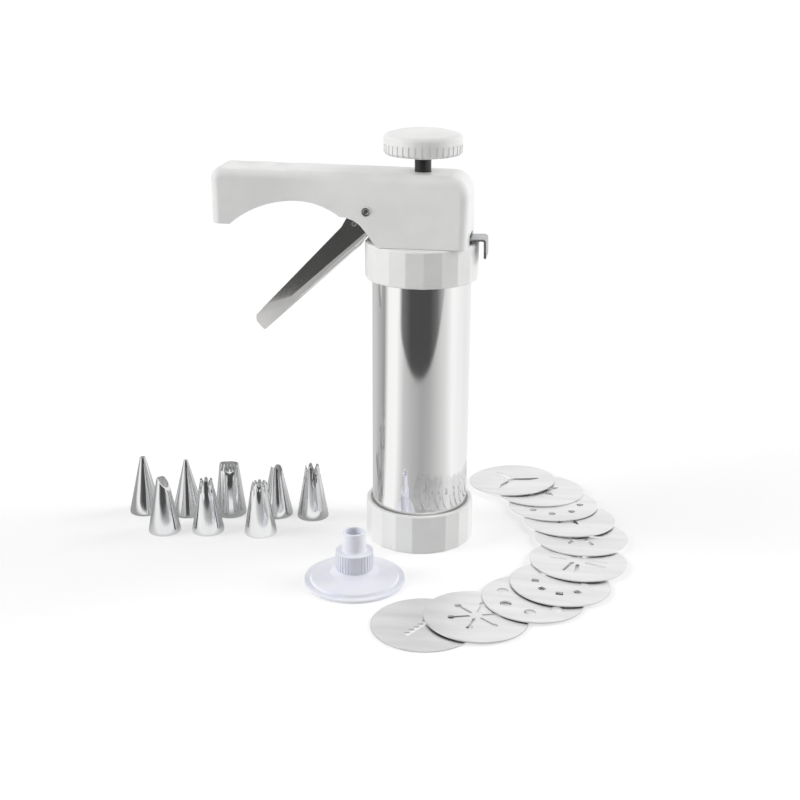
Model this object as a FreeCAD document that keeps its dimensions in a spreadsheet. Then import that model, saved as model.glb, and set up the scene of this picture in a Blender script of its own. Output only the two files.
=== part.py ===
import FreeCAD, Part

import math
import os

import Sketcher

Vector = FreeCAD.Vector
Rotation = FreeCAD.Rotation
Placement = FreeCAD.Placement

X_AXIS = Vector(1, 0, 0)
Y_AXIS = Vector(0, 1, 0)
Z_AXIS = Vector(0, 0, 1)

# A hand press for churros and biscuits: a steel tube between two screw rings, a moulded
# pistol-grip head, a squeeze lever that walks a friction plate down the piston rod, and
# the loose set that goes with it: eight nozzles, a nozzle adaptor and ten shaping discs.
#
# Frame: origin on the tube's axis at the face the press stands on, +Z up, grip towards -X,
# release tab towards +X. Millimetres and degrees.

SIZES = {
    # tube and rings
    "tube_diameter": 50.0,
    "tube_wall": 0.6,
    "tube_length": 150.6,
    "seat_gap": 0.2,
    "screw_fit": 0.08,
    "ring_across_flats": 56.4,
    "ring_edge": 1.0,
    "ring_mouth_relief": 0.8,
    "ring_mouth_depth": 1.5,
    "bottom_ring_height": 21.0,
    "bottom_lip_thickness": 3.0,
    "bottom_lip_opening": 42.0,
    "top_ring_height": 18.6,
    "top_lip_thickness": 2.85,
    "guide_plate_diameter": 49.0,
    "guide_plate_thickness": 3.0,
    "guide_screw_diameter": 3.0,
    "guide_screw_inset": 4.0,
    "turning_gap": 0.15,
    # head moulding
    "head_wall": 2.2,
    "head_height": 33.8,
    "head_rear": 24.4,
    "head_foot_width": 45.0,
    "head_top_width": 29.6,
    "head_rear_corner": 16.0,
    "head_rear_bend": 10.0,
    "head_edge_radius": 4.5,
    "flare_start": 39.5,
    "flare_end": 19.4,
    "flare_radius": 44.0,
    "grip_reach": 104.5,
    "grip_width": 29.0,
    "grip_tip_corner": 6.0,
    "grip_tip_bend": 4.0,
    "grip_tip_depth": 28.4,
    "grip_crest": 1.6,
    "grip_lip": 6.0,
    "ripple_radius": 70.0,
    "ripple_depth": 0.6,
    "ripple_pitch": 20.9,
    "ripple_start": 14.2,
    "arch_centre": 62.0,
    "arch_rise": 12.4,
    "arch_front_radius": 62.0,
    "arch_rear_radius": 50.0,
    "arch_end": 38.1,
    "cheek_end": 22.4,
    "neck_diameter": 43.6,
    "neck_gap": 0.3,
    "foot_plate": 3.2,
    # rod, knob and piston
    "rod_diameter": 8.2,
    "rod_fit": 0.1,
    "rod_hole_fit": 0.3,
    "rod_showing": 6.85,
    "knob_diameter": 39.0,
    "knob_rim": 9.8,
    "knob_dome": 1.9,
    "knob_neck_diameter": 15.0,
    "knob_skirt": 2.3,
    "knob_cap": 2.0,
    "knob_rib": 0.6,
    "piston_diameter": 48.2,
    "piston_height": 14.0,
    "piston_floor": 3.0,
    "piston_wall": 3.3,
    "piston_hub": 16.0,
    "piston_seat": 2.0,
    "piston_rest": 10.5,
    "seal_cord": 2.6,
    "seal_fit": 0.05,
    "stud_diameter": 6.0,
    "nut_across_flats": 10.0,
    "nut_height": 4.0,
    "washer_diameter": 14.0,
    "washer_thickness": 1.2,
    # squeeze lever
    "lever_slope": 42.45,
    "pivot_back": 25.3,
    "pivot_rise": 16.75,
    "pivot_pin_diameter": 4.8,
    "pin_fit": 0.06,
    "lever_width": 17.0,
    "lever_sheet": 1.2,
    "lever_reach": 83.3,
    "lever_depth": 10.0,
    "lever_bend": 3.2,
    "lever_tip_depth": 7.2,
    "lever_tip_corner": 2.4,
    "lever_bow_length": 20.0,
    "lever_bow_draw": 4.2,
    "lever_bow_radius": 60.0,
    "lever_end_radius": 4.0,
    "lever_throat_depth": 10.8,
    "lever_heel": 6.0,
    "ear_start": 17.5,
    "ear_step": 5.9,
    "ear_rise": 6.6,
    "nose_radius": 3.0,
    "nose_arm": 18.0,
    "nose_angle": 28.0,
    "nose_gap": 0.05,
    "stop_pin_diameter": 2.4,
    "stop_pin_reach": 11.1,
    "stop_pin_drop": 0.9,
    "stop_pin_proud": 0.5,
    # friction plates and springs
    "drive_plate_thickness": 1.5,
    "drive_plate_front": 11.5,
    "drive_plate_length": 26.0,
    "drive_plate_width": 18.4,
    "plate_corner": 3.0,
    "lock_plate_thickness": 1.2,
    "lock_plate_width": 15.0,
    "lock_tilt": 1.4,
    "lock_clearance": 0.3,
    "lock_front": 15.0,
    "lock_side_gap": 0.5,
    "tab_reach": 32.5,
    "tab_width": 14.0,
    "tab_drop": 9.8,
    "spring_seat_diameter": 26.0,
    "spring_seat_thickness": 1.2,
    "spring_seat_gap": 0.05,
    "drive_spring_diameter": 13.0,
    "drive_spring_wire": 1.0,
    "drive_spring_turns": 5,
    "lock_spring_diameter": 4.6,
    "lock_spring_wire": 0.6,
    "lock_spring_turns": 3,
    "lock_spring_back": 14.0,
    "lock_spring_well": 2.4,
    # loose set
    "disc_diameter": 50.0,
    "disc_thickness": 0.9,
    "nozzle_base": 17.2,
    "nozzle_foot": 1.2,
    "nozzle_wall": 0.5,
    "adaptor_diameter": 50.4,
    "adaptor_flange": 1.6,
    "adaptor_rim": 3.0,
    "adaptor_step": 1.6,
    "adaptor_dome": 8.0,
    "adaptor_collar": 19.4,
    "adaptor_collar_top": 15.4,
    "adaptor_tube": 11.6,
    "adaptor_height": 26.7,
    "adaptor_bore": 8.6,
    "adaptor_rib": 0.7,
}

RING_FACETS = 20
GUIDE_SCREWS = 3
GUIDE_SCREW_TURN = 60.0

# Flats that stand in for a full round on small, repeated or hidden pieces.
KNOB_FLATS = 56
HIDDEN_FLATS = 36
SMALL_FLATS = 24
SCREW_FLATS = 12
NOZZLE_FLATS = 18
ADAPTOR_FLATS = 32
DISC_FLATS = 32

doc = FreeCAD.newDocument("ChurroPress")
sheet = doc.addObject("Spreadsheet::Sheet", "Sizes")
for row, (alias, number) in enumerate(SIZES.items(), start=1):
    sheet.set(f"A{row}", alias)
    sheet.set(f"B{row}", str(number))
    sheet.setAlias(f"B{row}", alias)
doc.recompute()


# ---------------------------------------------------------------- sizes with formulas


class Length:
    """A number in millimetres together with the sheet formula that gives it."""

    def __init__(self, value, formula):
        self.value = float(value)
        self.formula = formula

    def __add__(self, other):
        other = as_length(other)
        return Length(self.value + other.value, f"({self.formula} + {other.formula})")

    __radd__ = __add__

    def __sub__(self, other):
        other = as_length(other)
        return Length(self.value - other.value, f"({self.formula} - {other.formula})")

    def __rsub__(self, other):
        return as_length(other) - self

    def __mul__(self, factor):
        return Length(self.value * factor, f"({self.formula} * {factor})")

    __rmul__ = __mul__

    def __truediv__(self, divisor):
        return Length(self.value / divisor, f"({self.formula} / {divisor})")

    def __neg__(self):
        return self * -1


def as_length(number):
    """A plain number counts as a length with itself as its formula."""
    if isinstance(number, Length):
        return number
    return Length(number, f"{number}")


def size(alias):
    """The length held by one named cell of the sheet."""
    return Length(sheet.get(alias), f"Sizes.{alias}")


# Radii and heights that several pieces share, worked out from the cells.
TUBE_R = size("tube_diameter") / 2
TUBE_BORE_R = TUBE_R - size("tube_wall")
RING_BORE_R = TUBE_R + size("screw_fit")
RING_MOUTH_R = TUBE_R + size("ring_mouth_relief")
ROD_R = size("rod_diameter") / 2
NECK_R = size("neck_diameter") / 2
STUD_R = size("stud_diameter") / 2
SEAL_INNER_R = TUBE_BORE_R - size("seal_fit") - size("seal_cord")
GUIDE_SCREW_CIRCLE = NECK_R - size("guide_screw_inset")

TUBE_BOTTOM = size("bottom_lip_thickness") + size("seat_gap")
TUBE_TOP = TUBE_BOTTOM + size("tube_length")
GUIDE_BOTTOM = TUBE_TOP + size("seat_gap")
GUIDE_TOP = GUIDE_BOTTOM + size("guide_plate_thickness")
TOP_LIP_BOTTOM = GUIDE_TOP + size("turning_gap")
TOP_RING_TOP = TOP_LIP_BOTTOM + size("top_lip_thickness")
TOP_RING_BOTTOM = TOP_RING_TOP - size("top_ring_height")
FOOT = TOP_RING_TOP + size("turning_gap")
FOOT_TOP = FOOT + size("foot_plate")
SEAT_TOP = FOOT_TOP + size("spring_seat_thickness")
HEAD_TOP = FOOT + size("head_height")
PIVOT = FOOT + size("pivot_rise")
KNOB_BOTTOM = HEAD_TOP + size("rod_showing")
KNOB_RIM_BOTTOM = KNOB_BOTTOM + size("knob_skirt")
KNOB_RIM_TOP = KNOB_RIM_BOTTOM + size("knob_rim")
KNOB_TOP = KNOB_RIM_TOP + size("knob_dome")
ROD_TOP = KNOB_RIM_TOP - size("knob_cap")
PISTON_BOTTOM = size("piston_rest")
PISTON_TOP = PISTON_BOTTOM + size("piston_height")
NUT_TOP = PISTON_BOTTOM + size("nut_height")
WASHER_TOP = NUT_TOP + size("washer_thickness")
ROD_SHOULDER = WASHER_TOP + size("piston_seat")

# How far past a face a cutting tool starts, so that it leaves no skin.
OVERSHOOT = 1.0
FAR = size("grip_reach") * 6


# ---------------------------------------------------------------- modelling helpers


def bind(item, prop, length):
    """Tie one property of a document object to a length's formula."""
    item.setExpression(prop, as_length(length).formula)


def origin_plane(body, role):
    """One of a body's own three origin planes."""
    for feature in body.Origin.OriginFeatures:
        if feature.Role == role:
            return feature
    raise ValueError(role)


def new_body(name):
    """A PartDesign body whose label names its file."""
    body = doc.addObject("PartDesign::Body", name)
    body.Label = name
    return body


def new_sketch(body, name, role="XZ_Plane"):
    """An empty sketch on one of the body's origin planes."""
    sketch = body.newObject("Sketcher::SketchObject", name)
    sketch.AttachmentSupport = [(origin_plane(body, role), "")]
    sketch.MapMode = "FlatFace"
    return sketch


def flat_sketch(body, name, height, turn=0.0):
    """An empty level sketch at a height, turned about the body's Z axis."""
    sketch = new_sketch(body, name, "XY_Plane")
    length = as_length(height)
    sketch.AttachmentOffset = Placement(Z_AXIS * length.value, Rotation(Z_AXIS, turn))
    bind(sketch, "AttachmentOffset.Base.z", length)
    return sketch


def pin_point(sketch, line, end, x, y):
    """Hold one line end at (x, y) from the sketch's origin, on the axis where it is zero."""
    for kind, axis, length in (("DistanceX", -2, x), ("DistanceY", -1, y)):
        if length.value == 0:
            sketch.addConstraint(Sketcher.Constraint("PointOnObject", line, end, axis))
            continue
        held = Sketcher.Constraint(kind, -1, 1, line, end, length.value)
        index = sketch.addConstraint(held)
        bind(sketch, f"Constraints[{index}]", length)


def draw_polygon(sketch, points):
    """A closed outline of straight lines, each corner tied to its own lengths."""
    points = [(as_length(x), as_length(y)) for x, y in points]
    first = sketch.GeometryCount
    count = len(points)
    for index, (x, y) in enumerate(points):
        next_x, next_y = points[(index + 1) % count]
        start = Vector(x.value, y.value, 0)
        end = Vector(next_x.value, next_y.value, 0)
        sketch.addGeometry(Part.LineSegment(start, end), False)
    for index in range(count):
        follower = first + (index + 1) % count
        sketch.addConstraint(Sketcher.Constraint("Coincident", first + index, 2, follower, 1))
    for index, (x, y) in enumerate(points):
        pin_point(sketch, first + index, 1, x, y)


def draw_circle(sketch, radius, x=0, y=0):
    """A circle tied to its radius and, off the origin, to its place."""
    radius, x, y = as_length(radius), as_length(x), as_length(y)
    centre = Vector(x.value, y.value, 0)
    index = sketch.addGeometry(Part.Circle(centre, Z_AXIS, radius.value), False)
    pin_point(sketch, index, 3, x, y)
    held = sketch.addConstraint(Sketcher.Constraint("Radius", index, radius.value))
    bind(sketch, f"Constraints[{held}]", radius)


def around(radius, sides):
    """Corner radius of the regular polygon whose flats touch a circle from outside."""
    return as_length(radius) / math.cos(math.pi / sides)


def draw_flats(sketch, sides, corner_radius, phase=0.0, x=0.0, y=0.0):
    """A regular polygon by its corners, which lie on the given radius."""
    corner = as_length(corner_radius)
    corners = []
    for index in range(sides):
        angle = math.radians(phase + 360.0 * index / sides)
        corners.append((corner * math.cos(angle) + x, corner * math.sin(angle) + y))
    draw_polygon(sketch, corners)


def draw_hole_flats(sketch, sides, clear_radius, x=0.0, y=0.0):
    """A regular polygon that leaves the given radius clear inside its flats."""
    draw_flats(sketch, sides, around(clear_radius, sides), 0.0, x, y)


def pad(body, name, sketch, length, symmetric=False):
    """Raise a sketch along its plane's normal, or to both sides of it."""
    raised = body.newObject("PartDesign::Pad", name)
    raised.Profile = sketch
    if symmetric:
        raised.SideType = "Symmetric"
    bind(raised, "Length", length)
    return raised


def pocket(body, name, sketch, depth):
    """Sink a sketch into the body against its plane's normal."""
    cut = body.newObject("PartDesign::Pocket", name)
    cut.Profile = sketch
    bind(cut, "Length", depth)
    return cut


def pocket_through(body, name, sketch):
    """Cut a sketch right through the body, to both sides of its plane."""
    cut = body.newObject("PartDesign::Pocket", name)
    cut.Profile = sketch
    cut.Type = "ThroughAll"
    cut.SideType = "Symmetric"
    return cut


def repeat_round(body, name, feature, sketch, count):
    """Copy one feature evenly about the sketch's normal through the origin."""
    pattern = body.newObject("PartDesign::PolarPattern", name)
    pattern.Originals = [feature]
    pattern.Axis = (sketch, ["N_Axis"])
    pattern.Angle = 360
    pattern.Occurrences = count
    body.Tip = pattern
    return pattern


def shape_feature(name, shape):
    """A Part::Feature for a form that only Part's own functions give."""
    feature = doc.addObject("Part::Feature", name)
    feature.Shape = shape
    return feature


def cylinder(name, radius, height, x=0, y=0, z=0):
    """A Part cylinder along Z with its sizes tied to the sheet."""
    item = doc.addObject("Part::Cylinder", name)
    bind(item, "Radius", radius)
    bind(item, "Height", height)
    bind(item, "Placement.Base.x", x)
    bind(item, "Placement.Base.y", y)
    bind(item, "Placement.Base.z", z)
    return item


def cross_pin(name, radius, length, x, z):
    """A Part cylinder along Y, centred on Y = 0."""
    item = doc.addObject("Part::Cylinder", name)
    bind(item, "Radius", radius)
    bind(item, "Height", length)
    item.Placement = Placement(Vector(), Rotation(X_AXIS, -90))
    bind(item, "Placement.Base.x", x)
    bind(item, "Placement.Base.y", -as_length(length) / 2)
    bind(item, "Placement.Base.z", z)
    return item


def box(name, length, width, height, x, z, y=0):
    """A Part box from its lowest X and Z, centred on the given Y."""
    item = doc.addObject("Part::Box", name)
    bind(item, "Length", length)
    bind(item, "Width", width)
    bind(item, "Height", height)
    bind(item, "Placement.Base.x", x)
    bind(item, "Placement.Base.y", as_length(y) - as_length(width) / 2)
    bind(item, "Placement.Base.z", z)
    return item


def joined(name, pieces):
    """One solid out of several that overlap."""
    item = doc.addObject("Part::MultiFuse", name)
    item.Shapes = pieces
    item.Refine = True
    return item


def common(name, pieces):
    """What several solids share."""
    item = doc.addObject("Part::MultiCommon", name)
    item.Shapes = pieces
    return item


def cut_away(name, base, tool):
    """One solid with another taken out of it."""
    item = doc.addObject("Part::Cut", name)
    item.Base = base
    item.Tool = tool
    return item


def group_of(name, pieces):
    """Several solids held as one object."""
    item = doc.addObject("Part::Compound", name)
    item.Links = pieces
    return item


def prism(name, outline, direction, length=FAR):
    """A closed outline drawn out to both sides along one direction."""
    item = doc.addObject("Part::Extrusion", name)
    item.Base = outline
    item.DirMode = "Custom"
    item.Dir = direction
    item.Solid = True
    item.Symmetric = True
    bind(item, "LengthFwd", length)
    return item


def rounded_outline(name, corners, across, up):
    """A closed wire of (across, up, radius) corners, with a tangent arc at each radius."""
    points = [across * a + up * b for a, b, radius in corners]
    bends = []
    for index, (a, b, radius) in enumerate(corners):
        here = points[index]
        if radius == 0:
            bends.append((here, None, here))
            continue
        back = (points[index - 1] - here).normalize()
        onward = (points[(index + 1) % len(points)] - here).normalize()
        half_angle = back.getAngle(onward) / 2
        reach = radius / math.tan(half_angle)
        centre = here + (back + onward).normalize() * (radius / math.sin(half_angle))
        middle = centre + (here - centre).normalize() * radius
        bends.append((here + back * reach, middle, here + onward * reach))
    edges = []
    for index, (start, middle, end) in enumerate(bends):
        if middle is not None:
            edges.append(Part.Arc(start, middle, end).toShape())
        follower = bends[(index + 1) % len(bends)][0]
        if end.distanceToPoint(follower) > 1e-6:
            edges.append(Part.LineSegment(end, follower).toShape())
    return shape_feature(name, Part.Wire(edges))


def set_in(name, outline, wall):
    """The same outline moved inwards by a wall."""
    item = doc.addObject("Part::Offset2D", name)
    item.Source = outline
    bind(item, "Value", -as_length(wall))
    item.Join = "Intersection"
    return item


def three_views(name, side, plan, front, front_direction=X_AXIS):
    """The solid that three outlines share, each drawn out along its own line of sight."""
    return common(name, [
        prism(f"{name}FromSide", side, Y_AXIS),
        prism(f"{name}FromAbove", plan, Z_AXIS),
        prism(f"{name}FromFront", front, front_direction),
    ])


def flat_prism(name, sides, corner_radius, height, x=0, y=0, z=0):
    """An upright prism in flats with its corners on the given radius."""
    item = doc.addObject("Part::Prism", name)
    item.Polygon = sides
    bind(item, "Circumradius", corner_radius)
    bind(item, "Height", height)
    bind(item, "Placement.Base.x", x)
    bind(item, "Placement.Base.y", y)
    bind(item, "Placement.Base.z", z)
    return item


def cross_flats(name, clear_radius, length, x, z):
    """A prism in flats along Y that goes round the given radius, centred on Y = 0."""
    item = doc.addObject("Part::Prism", name)
    item.Polygon = SMALL_FLATS
    bind(item, "Circumradius", around(clear_radius, SMALL_FLATS))
    bind(item, "Height", length)
    item.Placement = Placement(Vector(), Rotation(X_AXIS, -90))
    bind(item, "Placement.Base.x", x)
    bind(item, "Placement.Base.y", -as_length(length) / 2)
    bind(item, "Placement.Base.z", z)
    return item


def flat_face(*corners):
    """One flat face with the given corners."""
    return Part.Face(Part.makePolygon([*corners, corners[0]]))


def faceted(name, rings):
    """A solid with flat facets from each ring of corners to the next."""
    faces = [flat_face(*rings[0]), flat_face(*rings[-1])]
    for near, far in zip(rings[:-1], rings[1:]):
        for index, corner in enumerate(near):
            follower = (index + 1) % len(near)
            faces.append(flat_face(corner, near[follower], far[follower]))
            faces.append(flat_face(corner, far[follower], far[index]))
    solid = Part.makeSolid(Part.makeShell(faces))
    if solid.Volume < 0:
        solid.reverse()
    return shape_feature(name, solid.removeSplitter())


def level_ring(sides, long_radius, short_radius, height, flute=0.0):
    """The corners of a level polygon on a circle or an oval, every second one set in."""
    corners = []
    for index in range(sides):
        angle = 2 * math.pi * index / sides
        inset = flute * (index % 2)
        x = (long_radius - inset) * math.cos(angle)
        corners.append(Vector(x, (short_radius - inset) * math.sin(angle), height))
    return corners


def spun_flats(name, sides, sections):
    """A round form in flats, through polygons given as (corner radius, height, flute)."""
    rings = []
    for radius, z, *flute in sections:
        radius = as_length(radius).value
        rings.append(level_ring(sides, radius, radius, as_length(z).value, *flute))
    return faceted(name, rings)


# ---------------------------------------------------------------- tube and screw rings


def make_barrel_tube():
    """Thin steel tube, open and plain at both ends."""
    body = new_body("barrel_tube")
    outline = flat_sketch(body, "Section", TUBE_BOTTOM)
    draw_circle(outline, TUBE_R)
    draw_circle(outline, TUBE_BORE_R)
    pad(body, "Tube", outline, size("tube_length"))
    return body


def make_ring(name, bottom, height, phase, bore_top, bore_depth):
    """Faceted screw ring: a chamfered prism, bored for the tube from one side."""
    body = new_body(name)
    outline = flat_sketch(body, "Flats", bottom)
    draw_flats(outline, RING_FACETS, around(size("ring_across_flats") / 2, RING_FACETS),
               phase)
    facets = pad(body, "Facets", outline, height)
    doc.recompute()
    ends = (as_length(bottom).value, (as_length(bottom) + height).value)
    numbers = []
    for index, edge in enumerate(facets.Shape.Edges, start=1):
        limits = edge.BoundBox
        if limits.ZLength < 1e-6 and min(abs(limits.ZMin - end) for end in ends) < 1e-6:
            numbers.append(f"Edge{index}")
    chamfer = body.newObject("PartDesign::Chamfer", "Edges")
    chamfer.Base = (facets, numbers)
    bind(chamfer, "Size", size("ring_edge"))
    bore = flat_sketch(body, "BoreOutline", bore_top)
    draw_circle(bore, RING_BORE_R)
    pocket(body, "Bore", bore, bore_depth)
    return body


def make_bottom_ring():
    """Bottom ring: the inner lip carries a shaping disc or the adaptor."""
    height = size("bottom_ring_height")
    body = make_ring("bottom_ring", 0, height, 0.0, height,
                     height - size("bottom_lip_thickness"))
    outlet = flat_sketch(body, "OutletOutline", 0)
    draw_circle(outlet, size("bottom_lip_opening") / 2)
    pocket_through(body, "Outlet", outlet)
    mouth = flat_sketch(body, "MouthOutline", height)
    draw_hole_flats(mouth, HIDDEN_FLATS, RING_MOUTH_R)
    pocket(body, "Mouth", mouth, size("ring_mouth_depth"))
    return body


def make_top_ring():
    """Top ring: its lip hangs on the guide plate under the head."""
    half_facet = 180.0 / RING_FACETS
    body = make_ring("top_ring", TOP_RING_BOTTOM, size("top_ring_height"), half_facet,
                     TOP_LIP_BOTTOM, TOP_LIP_BOTTOM - TOP_RING_BOTTOM)
    opening = flat_sketch(body, "NeckOutline", 0)
    draw_hole_flats(opening, HIDDEN_FLATS, NECK_R + size("neck_gap"))
    pocket_through(body, "NeckOpening", opening)
    return body


def make_guide_plate():
    """Round plate under the neck: it guides the rod and traps the top ring."""
    body = new_body("guide_plate")
    outline = flat_sketch(body, "Rim", GUIDE_BOTTOM)
    draw_flats(outline, HIDDEN_FLATS, size("guide_plate_diameter") / 2)
    draw_hole_flats(outline, SMALL_FLATS, ROD_R + size("rod_fit"))
    pad(body, "Plate", outline, size("guide_plate_thickness"))
    screw_hole = flat_sketch(body, "ScrewHole", GUIDE_BOTTOM, GUIDE_SCREW_TURN)
    screw_r = size("guide_screw_diameter") / 2
    draw_flats(screw_hole, SCREW_FLATS, screw_r, 0.0, GUIDE_SCREW_CIRCLE)
    drilled = pocket_through(body, "Drilled", screw_hole)
    repeat_round(body, "ScrewHoles", drilled, screw_hole, GUIDE_SCREWS)
    return body


def guide_screw_shanks(name):
    """The guide plate's screws, or the holes that they fill, in flats round the neck."""
    shanks = []
    reach = size("guide_plate_thickness") + size("foot_plate")
    radius = size("guide_screw_diameter") / 2
    for index in range(GUIDE_SCREWS):
        degrees = GUIDE_SCREW_TURN + 360.0 * index / GUIDE_SCREWS
        turn = math.radians(degrees)
        shank = flat_prism(f"{name}Shank{index}", SCREW_FLATS, radius, reach,
                           GUIDE_SCREW_CIRCLE * math.cos(turn),
                           GUIDE_SCREW_CIRCLE * math.sin(turn), GUIDE_BOTTOM)
        shank.Placement.Rotation = Rotation(Z_AXIS, degrees)
        shanks.append(shank)
    return group_of(name, shanks)


def make_guide_screws():
    """Three flush screws that hold the guide plate up against the neck."""
    return guide_screw_shanks("guide_plate_screws")


# ---------------------------------------------------------------- head moulding


def top_slope():
    """How much the head's top line falls for each millimetre from tip to rear."""
    return size("grip_crest").value / (size("grip_reach") + size("head_rear")).value


def top_height(x):
    """Height of the head's top line at a place along it."""
    return HEAD_TOP.value + top_slope() * (size("head_rear").value - x)


def head_plan():
    """The head from above: a straight grip that flares out to a rounded foot."""
    tip = -size("grip_reach").value
    rear = size("head_rear").value
    grip = size("grip_width").value / 2
    foot = size("head_foot_width").value / 2
    flare = size("flare_radius").value
    corner = size("head_rear_corner").value
    tip_corner = size("grip_tip_corner").value
    near = [
        (tip, -grip, tip_corner),
        (-size("flare_start").value, -grip, flare),
        (-size("flare_end").value, -foot, flare),
        (rear, -foot, corner),
    ]
    far = [(x, -y, radius) for x, y, radius in reversed(near)]
    return rounded_outline("HeadPlan", near + far, X_AXIS, Y_AXIS)


def cheek_half_width(height):
    """Half of the head's width where its drafted cheeks are at one height."""
    foot = size("head_foot_width").value / 2
    top = size("head_top_width").value / 2
    return foot + (top - foot) * (height - FOOT.value) / (HEAD_TOP - FOOT).value


def head_front():
    """The head from the front: drafted cheeks with rounded top edges."""
    top = top_height(0)
    low = FOOT.value - size("head_wall").value * 3
    edge = size("head_edge_radius").value
    half_low = cheek_half_width(low)
    half_top = cheek_half_width(top)
    square_to_top = Vector(top_slope(), 0, 1).normalize()
    return rounded_outline("HeadFront", [
        (-half_low, low, 0),
        (half_low, low, 0),
        (half_top, top, edge),
        (-half_top, top, edge),
    ], Y_AXIS, square_to_top)


def head_side(name, inset, floor):
    """The head from the side, without its arch, or the hollow inside that outline."""
    tip = inset - size("grip_reach").value
    rear = size("head_rear").value - inset
    return rounded_outline(name, [
        (tip, floor, 0),
        (rear, floor, 0),
        (rear, top_height(rear) - inset, size("head_rear_bend").value - inset),
        (tip, top_height(tip) - inset, size("grip_tip_bend").value - inset),
    ], X_AXIS, Z_AXIS)


def finger_arch():
    """What is cut away under the grip: the arch for the fingers and the slanted cheek."""
    crest = HEAD_TOP.value + size("grip_crest").value
    arch_x = -size("arch_centre").value
    arch_z = crest - size("grip_tip_depth").value + size("arch_rise").value

    def on_arch(x, radius):
        return Vector(x, 0, arch_z - radius + math.sqrt(radius ** 2 - (x - arch_x) ** 2))

    front_r = size("arch_front_radius").value
    rear_r = size("arch_rear_radius").value
    crown = Vector(arch_x, 0, arch_z)
    lip = on_arch(size("grip_lip").value - size("grip_reach").value, front_r)
    end = on_arch(-size("arch_end").value, rear_r)
    cheek = Vector(-size("cheek_end").value, 0, FOOT.value)
    low = FOOT.value - OVERSHOOT
    outside = -size("grip_reach").value - OVERSHOOT
    corners = [
        end,
        cheek,
        Vector(cheek.x, 0, low),
        Vector(outside, 0, low),
        Vector(outside, 0, lip.z),
        lip,
    ]
    edges = [Part.LineSegment(a, b).toShape() for a, b in zip(corners[:-1], corners[1:])]
    edges.append(Part.Arc(lip, on_arch((lip.x + arch_x) / 2, front_r), crown).toShape())
    edges.append(Part.Arc(crown, on_arch((end.x + arch_x) / 2, rear_r), end).toShape())
    return prism("FingerArch", shape_feature("FingerArchOutline", Part.Wire(edges)), Y_AXIS)


def grip_ripples():
    """Shallow hollows across the top of the grip."""
    radius = size("ripple_radius")
    ripples = []
    for index in range(2):
        x = size("ripple_start") + size("ripple_pitch") * index - size("grip_reach")
        z = top_height(x.value) - size("ripple_depth") + radius
        ripples.append(cross_pin(f"Ripple{index}", radius, size("head_foot_width"), x, z))
    return ripples


def make_head_shell():
    """The drafted, open-bottomed shell of the head and grip."""
    wall = size("head_wall")
    plan = head_plan()
    front = head_front()
    along_top = Vector(1, 0, -top_slope())
    block = three_views("HeadBlock", head_side("HeadSide", 0.0, FOOT.value), plan, front,
                        along_top)
    hollow_side = head_side("HollowSide", wall.value, FOOT.value - wall.value)
    hollow = three_views("HeadHollow", hollow_side, set_in("HollowPlan", plan, wall),
                         set_in("HollowFront", front, wall), along_top)
    return block, cut_away("HeadShell", block, hollow)


def make_head_housing():
    """The head: shell, foot plate, neck and pivot bosses in one white moulding."""
    wall = size("head_wall")
    block, shell = make_head_shell()
    slab = box("FootSlab", FAR, FAR, size("foot_plate"), -FAR / 2, FOOT)
    foot_plate = common("FootPlate", [block, slab])
    neck = flat_prism("Neck", HIDDEN_FLATS, NECK_R, FOOT_TOP - GUIDE_TOP, 0, 0, GUIDE_TOP)
    pivot_x = -size("pivot_back")
    boss_r = size("pivot_pin_diameter") / 2 + wall
    boss_width = 2 * cheek_half_width(PIVOT.value) - wall
    boss = cross_flats("PivotBosses", boss_r, boss_width, pivot_x, PIVOT)
    solid = joined("HeadSolid", [shell, foot_plate, neck, boss])

    lever_width = size("lever_width") + 0.6
    channel_width = size("lock_plate_width") + size("lock_side_gap") * 2
    channel_start = wall - size("lock_front")
    pin_hole_r = size("pivot_pin_diameter") / 2 + size("pin_fit")
    well_r = size("lock_spring_diameter") / 2 + size("neck_gap")
    openings = [
        finger_arch(),
        box("LeverRoom", boss_r * 4, lever_width, boss_r * 4,
            pivot_x - boss_r * 2, PIVOT - boss_r * 2),
        box("LeverMouth", size("lock_front"), lever_width + 0.6, size("foot_plate") * 2,
            -size("cheek_end") - size("lever_heel"), FOOT - OVERSHOOT),
        cross_flats("PinHole", pin_hole_r, size("head_foot_width") * 2, pivot_x, PIVOT),
        flat_prism("RodHole", SMALL_FLATS, around(ROD_R + size("rod_hole_fit"), SMALL_FLATS),
                   size("head_height") * 3, 0, 0, GUIDE_BOTTOM),
        box("LockChannel", size("head_rear") * 3, channel_width,
            size("foot_plate") + OVERSHOOT, channel_start, FOOT),
        box("LockUndercut", size("lock_front") + channel_start + OVERSHOOT, channel_width,
            size("lock_plate_thickness") + size("lock_clearance") * 2,
            -size("lock_front") - size("lock_side_gap"), FOOT),
        flat_prism("LockSpringWell", SMALL_FLATS, around(well_r, SMALL_FLATS),
                   size("lock_spring_well") + OVERSHOOT, size("lock_spring_back"), 0,
                   FOOT - size("lock_spring_well")),
        guide_screw_shanks("NeckScrewHoles"),
    ]
    openings += grip_ripples()
    return cut_away("head_housing", solid, group_of("HeadOpenings", openings))


def make_pivot_pin():
    """Steel pin through both cheeks, its ends just proud of them."""
    width = 2 * cheek_half_width(PIVOT.value) + size("lever_sheet")
    return cross_pin("pivot_pin", size("pivot_pin_diameter") / 2, width,
                     -size("pivot_back"), PIVOT)


# ---------------------------------------------------------------- rod, knob and piston


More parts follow.
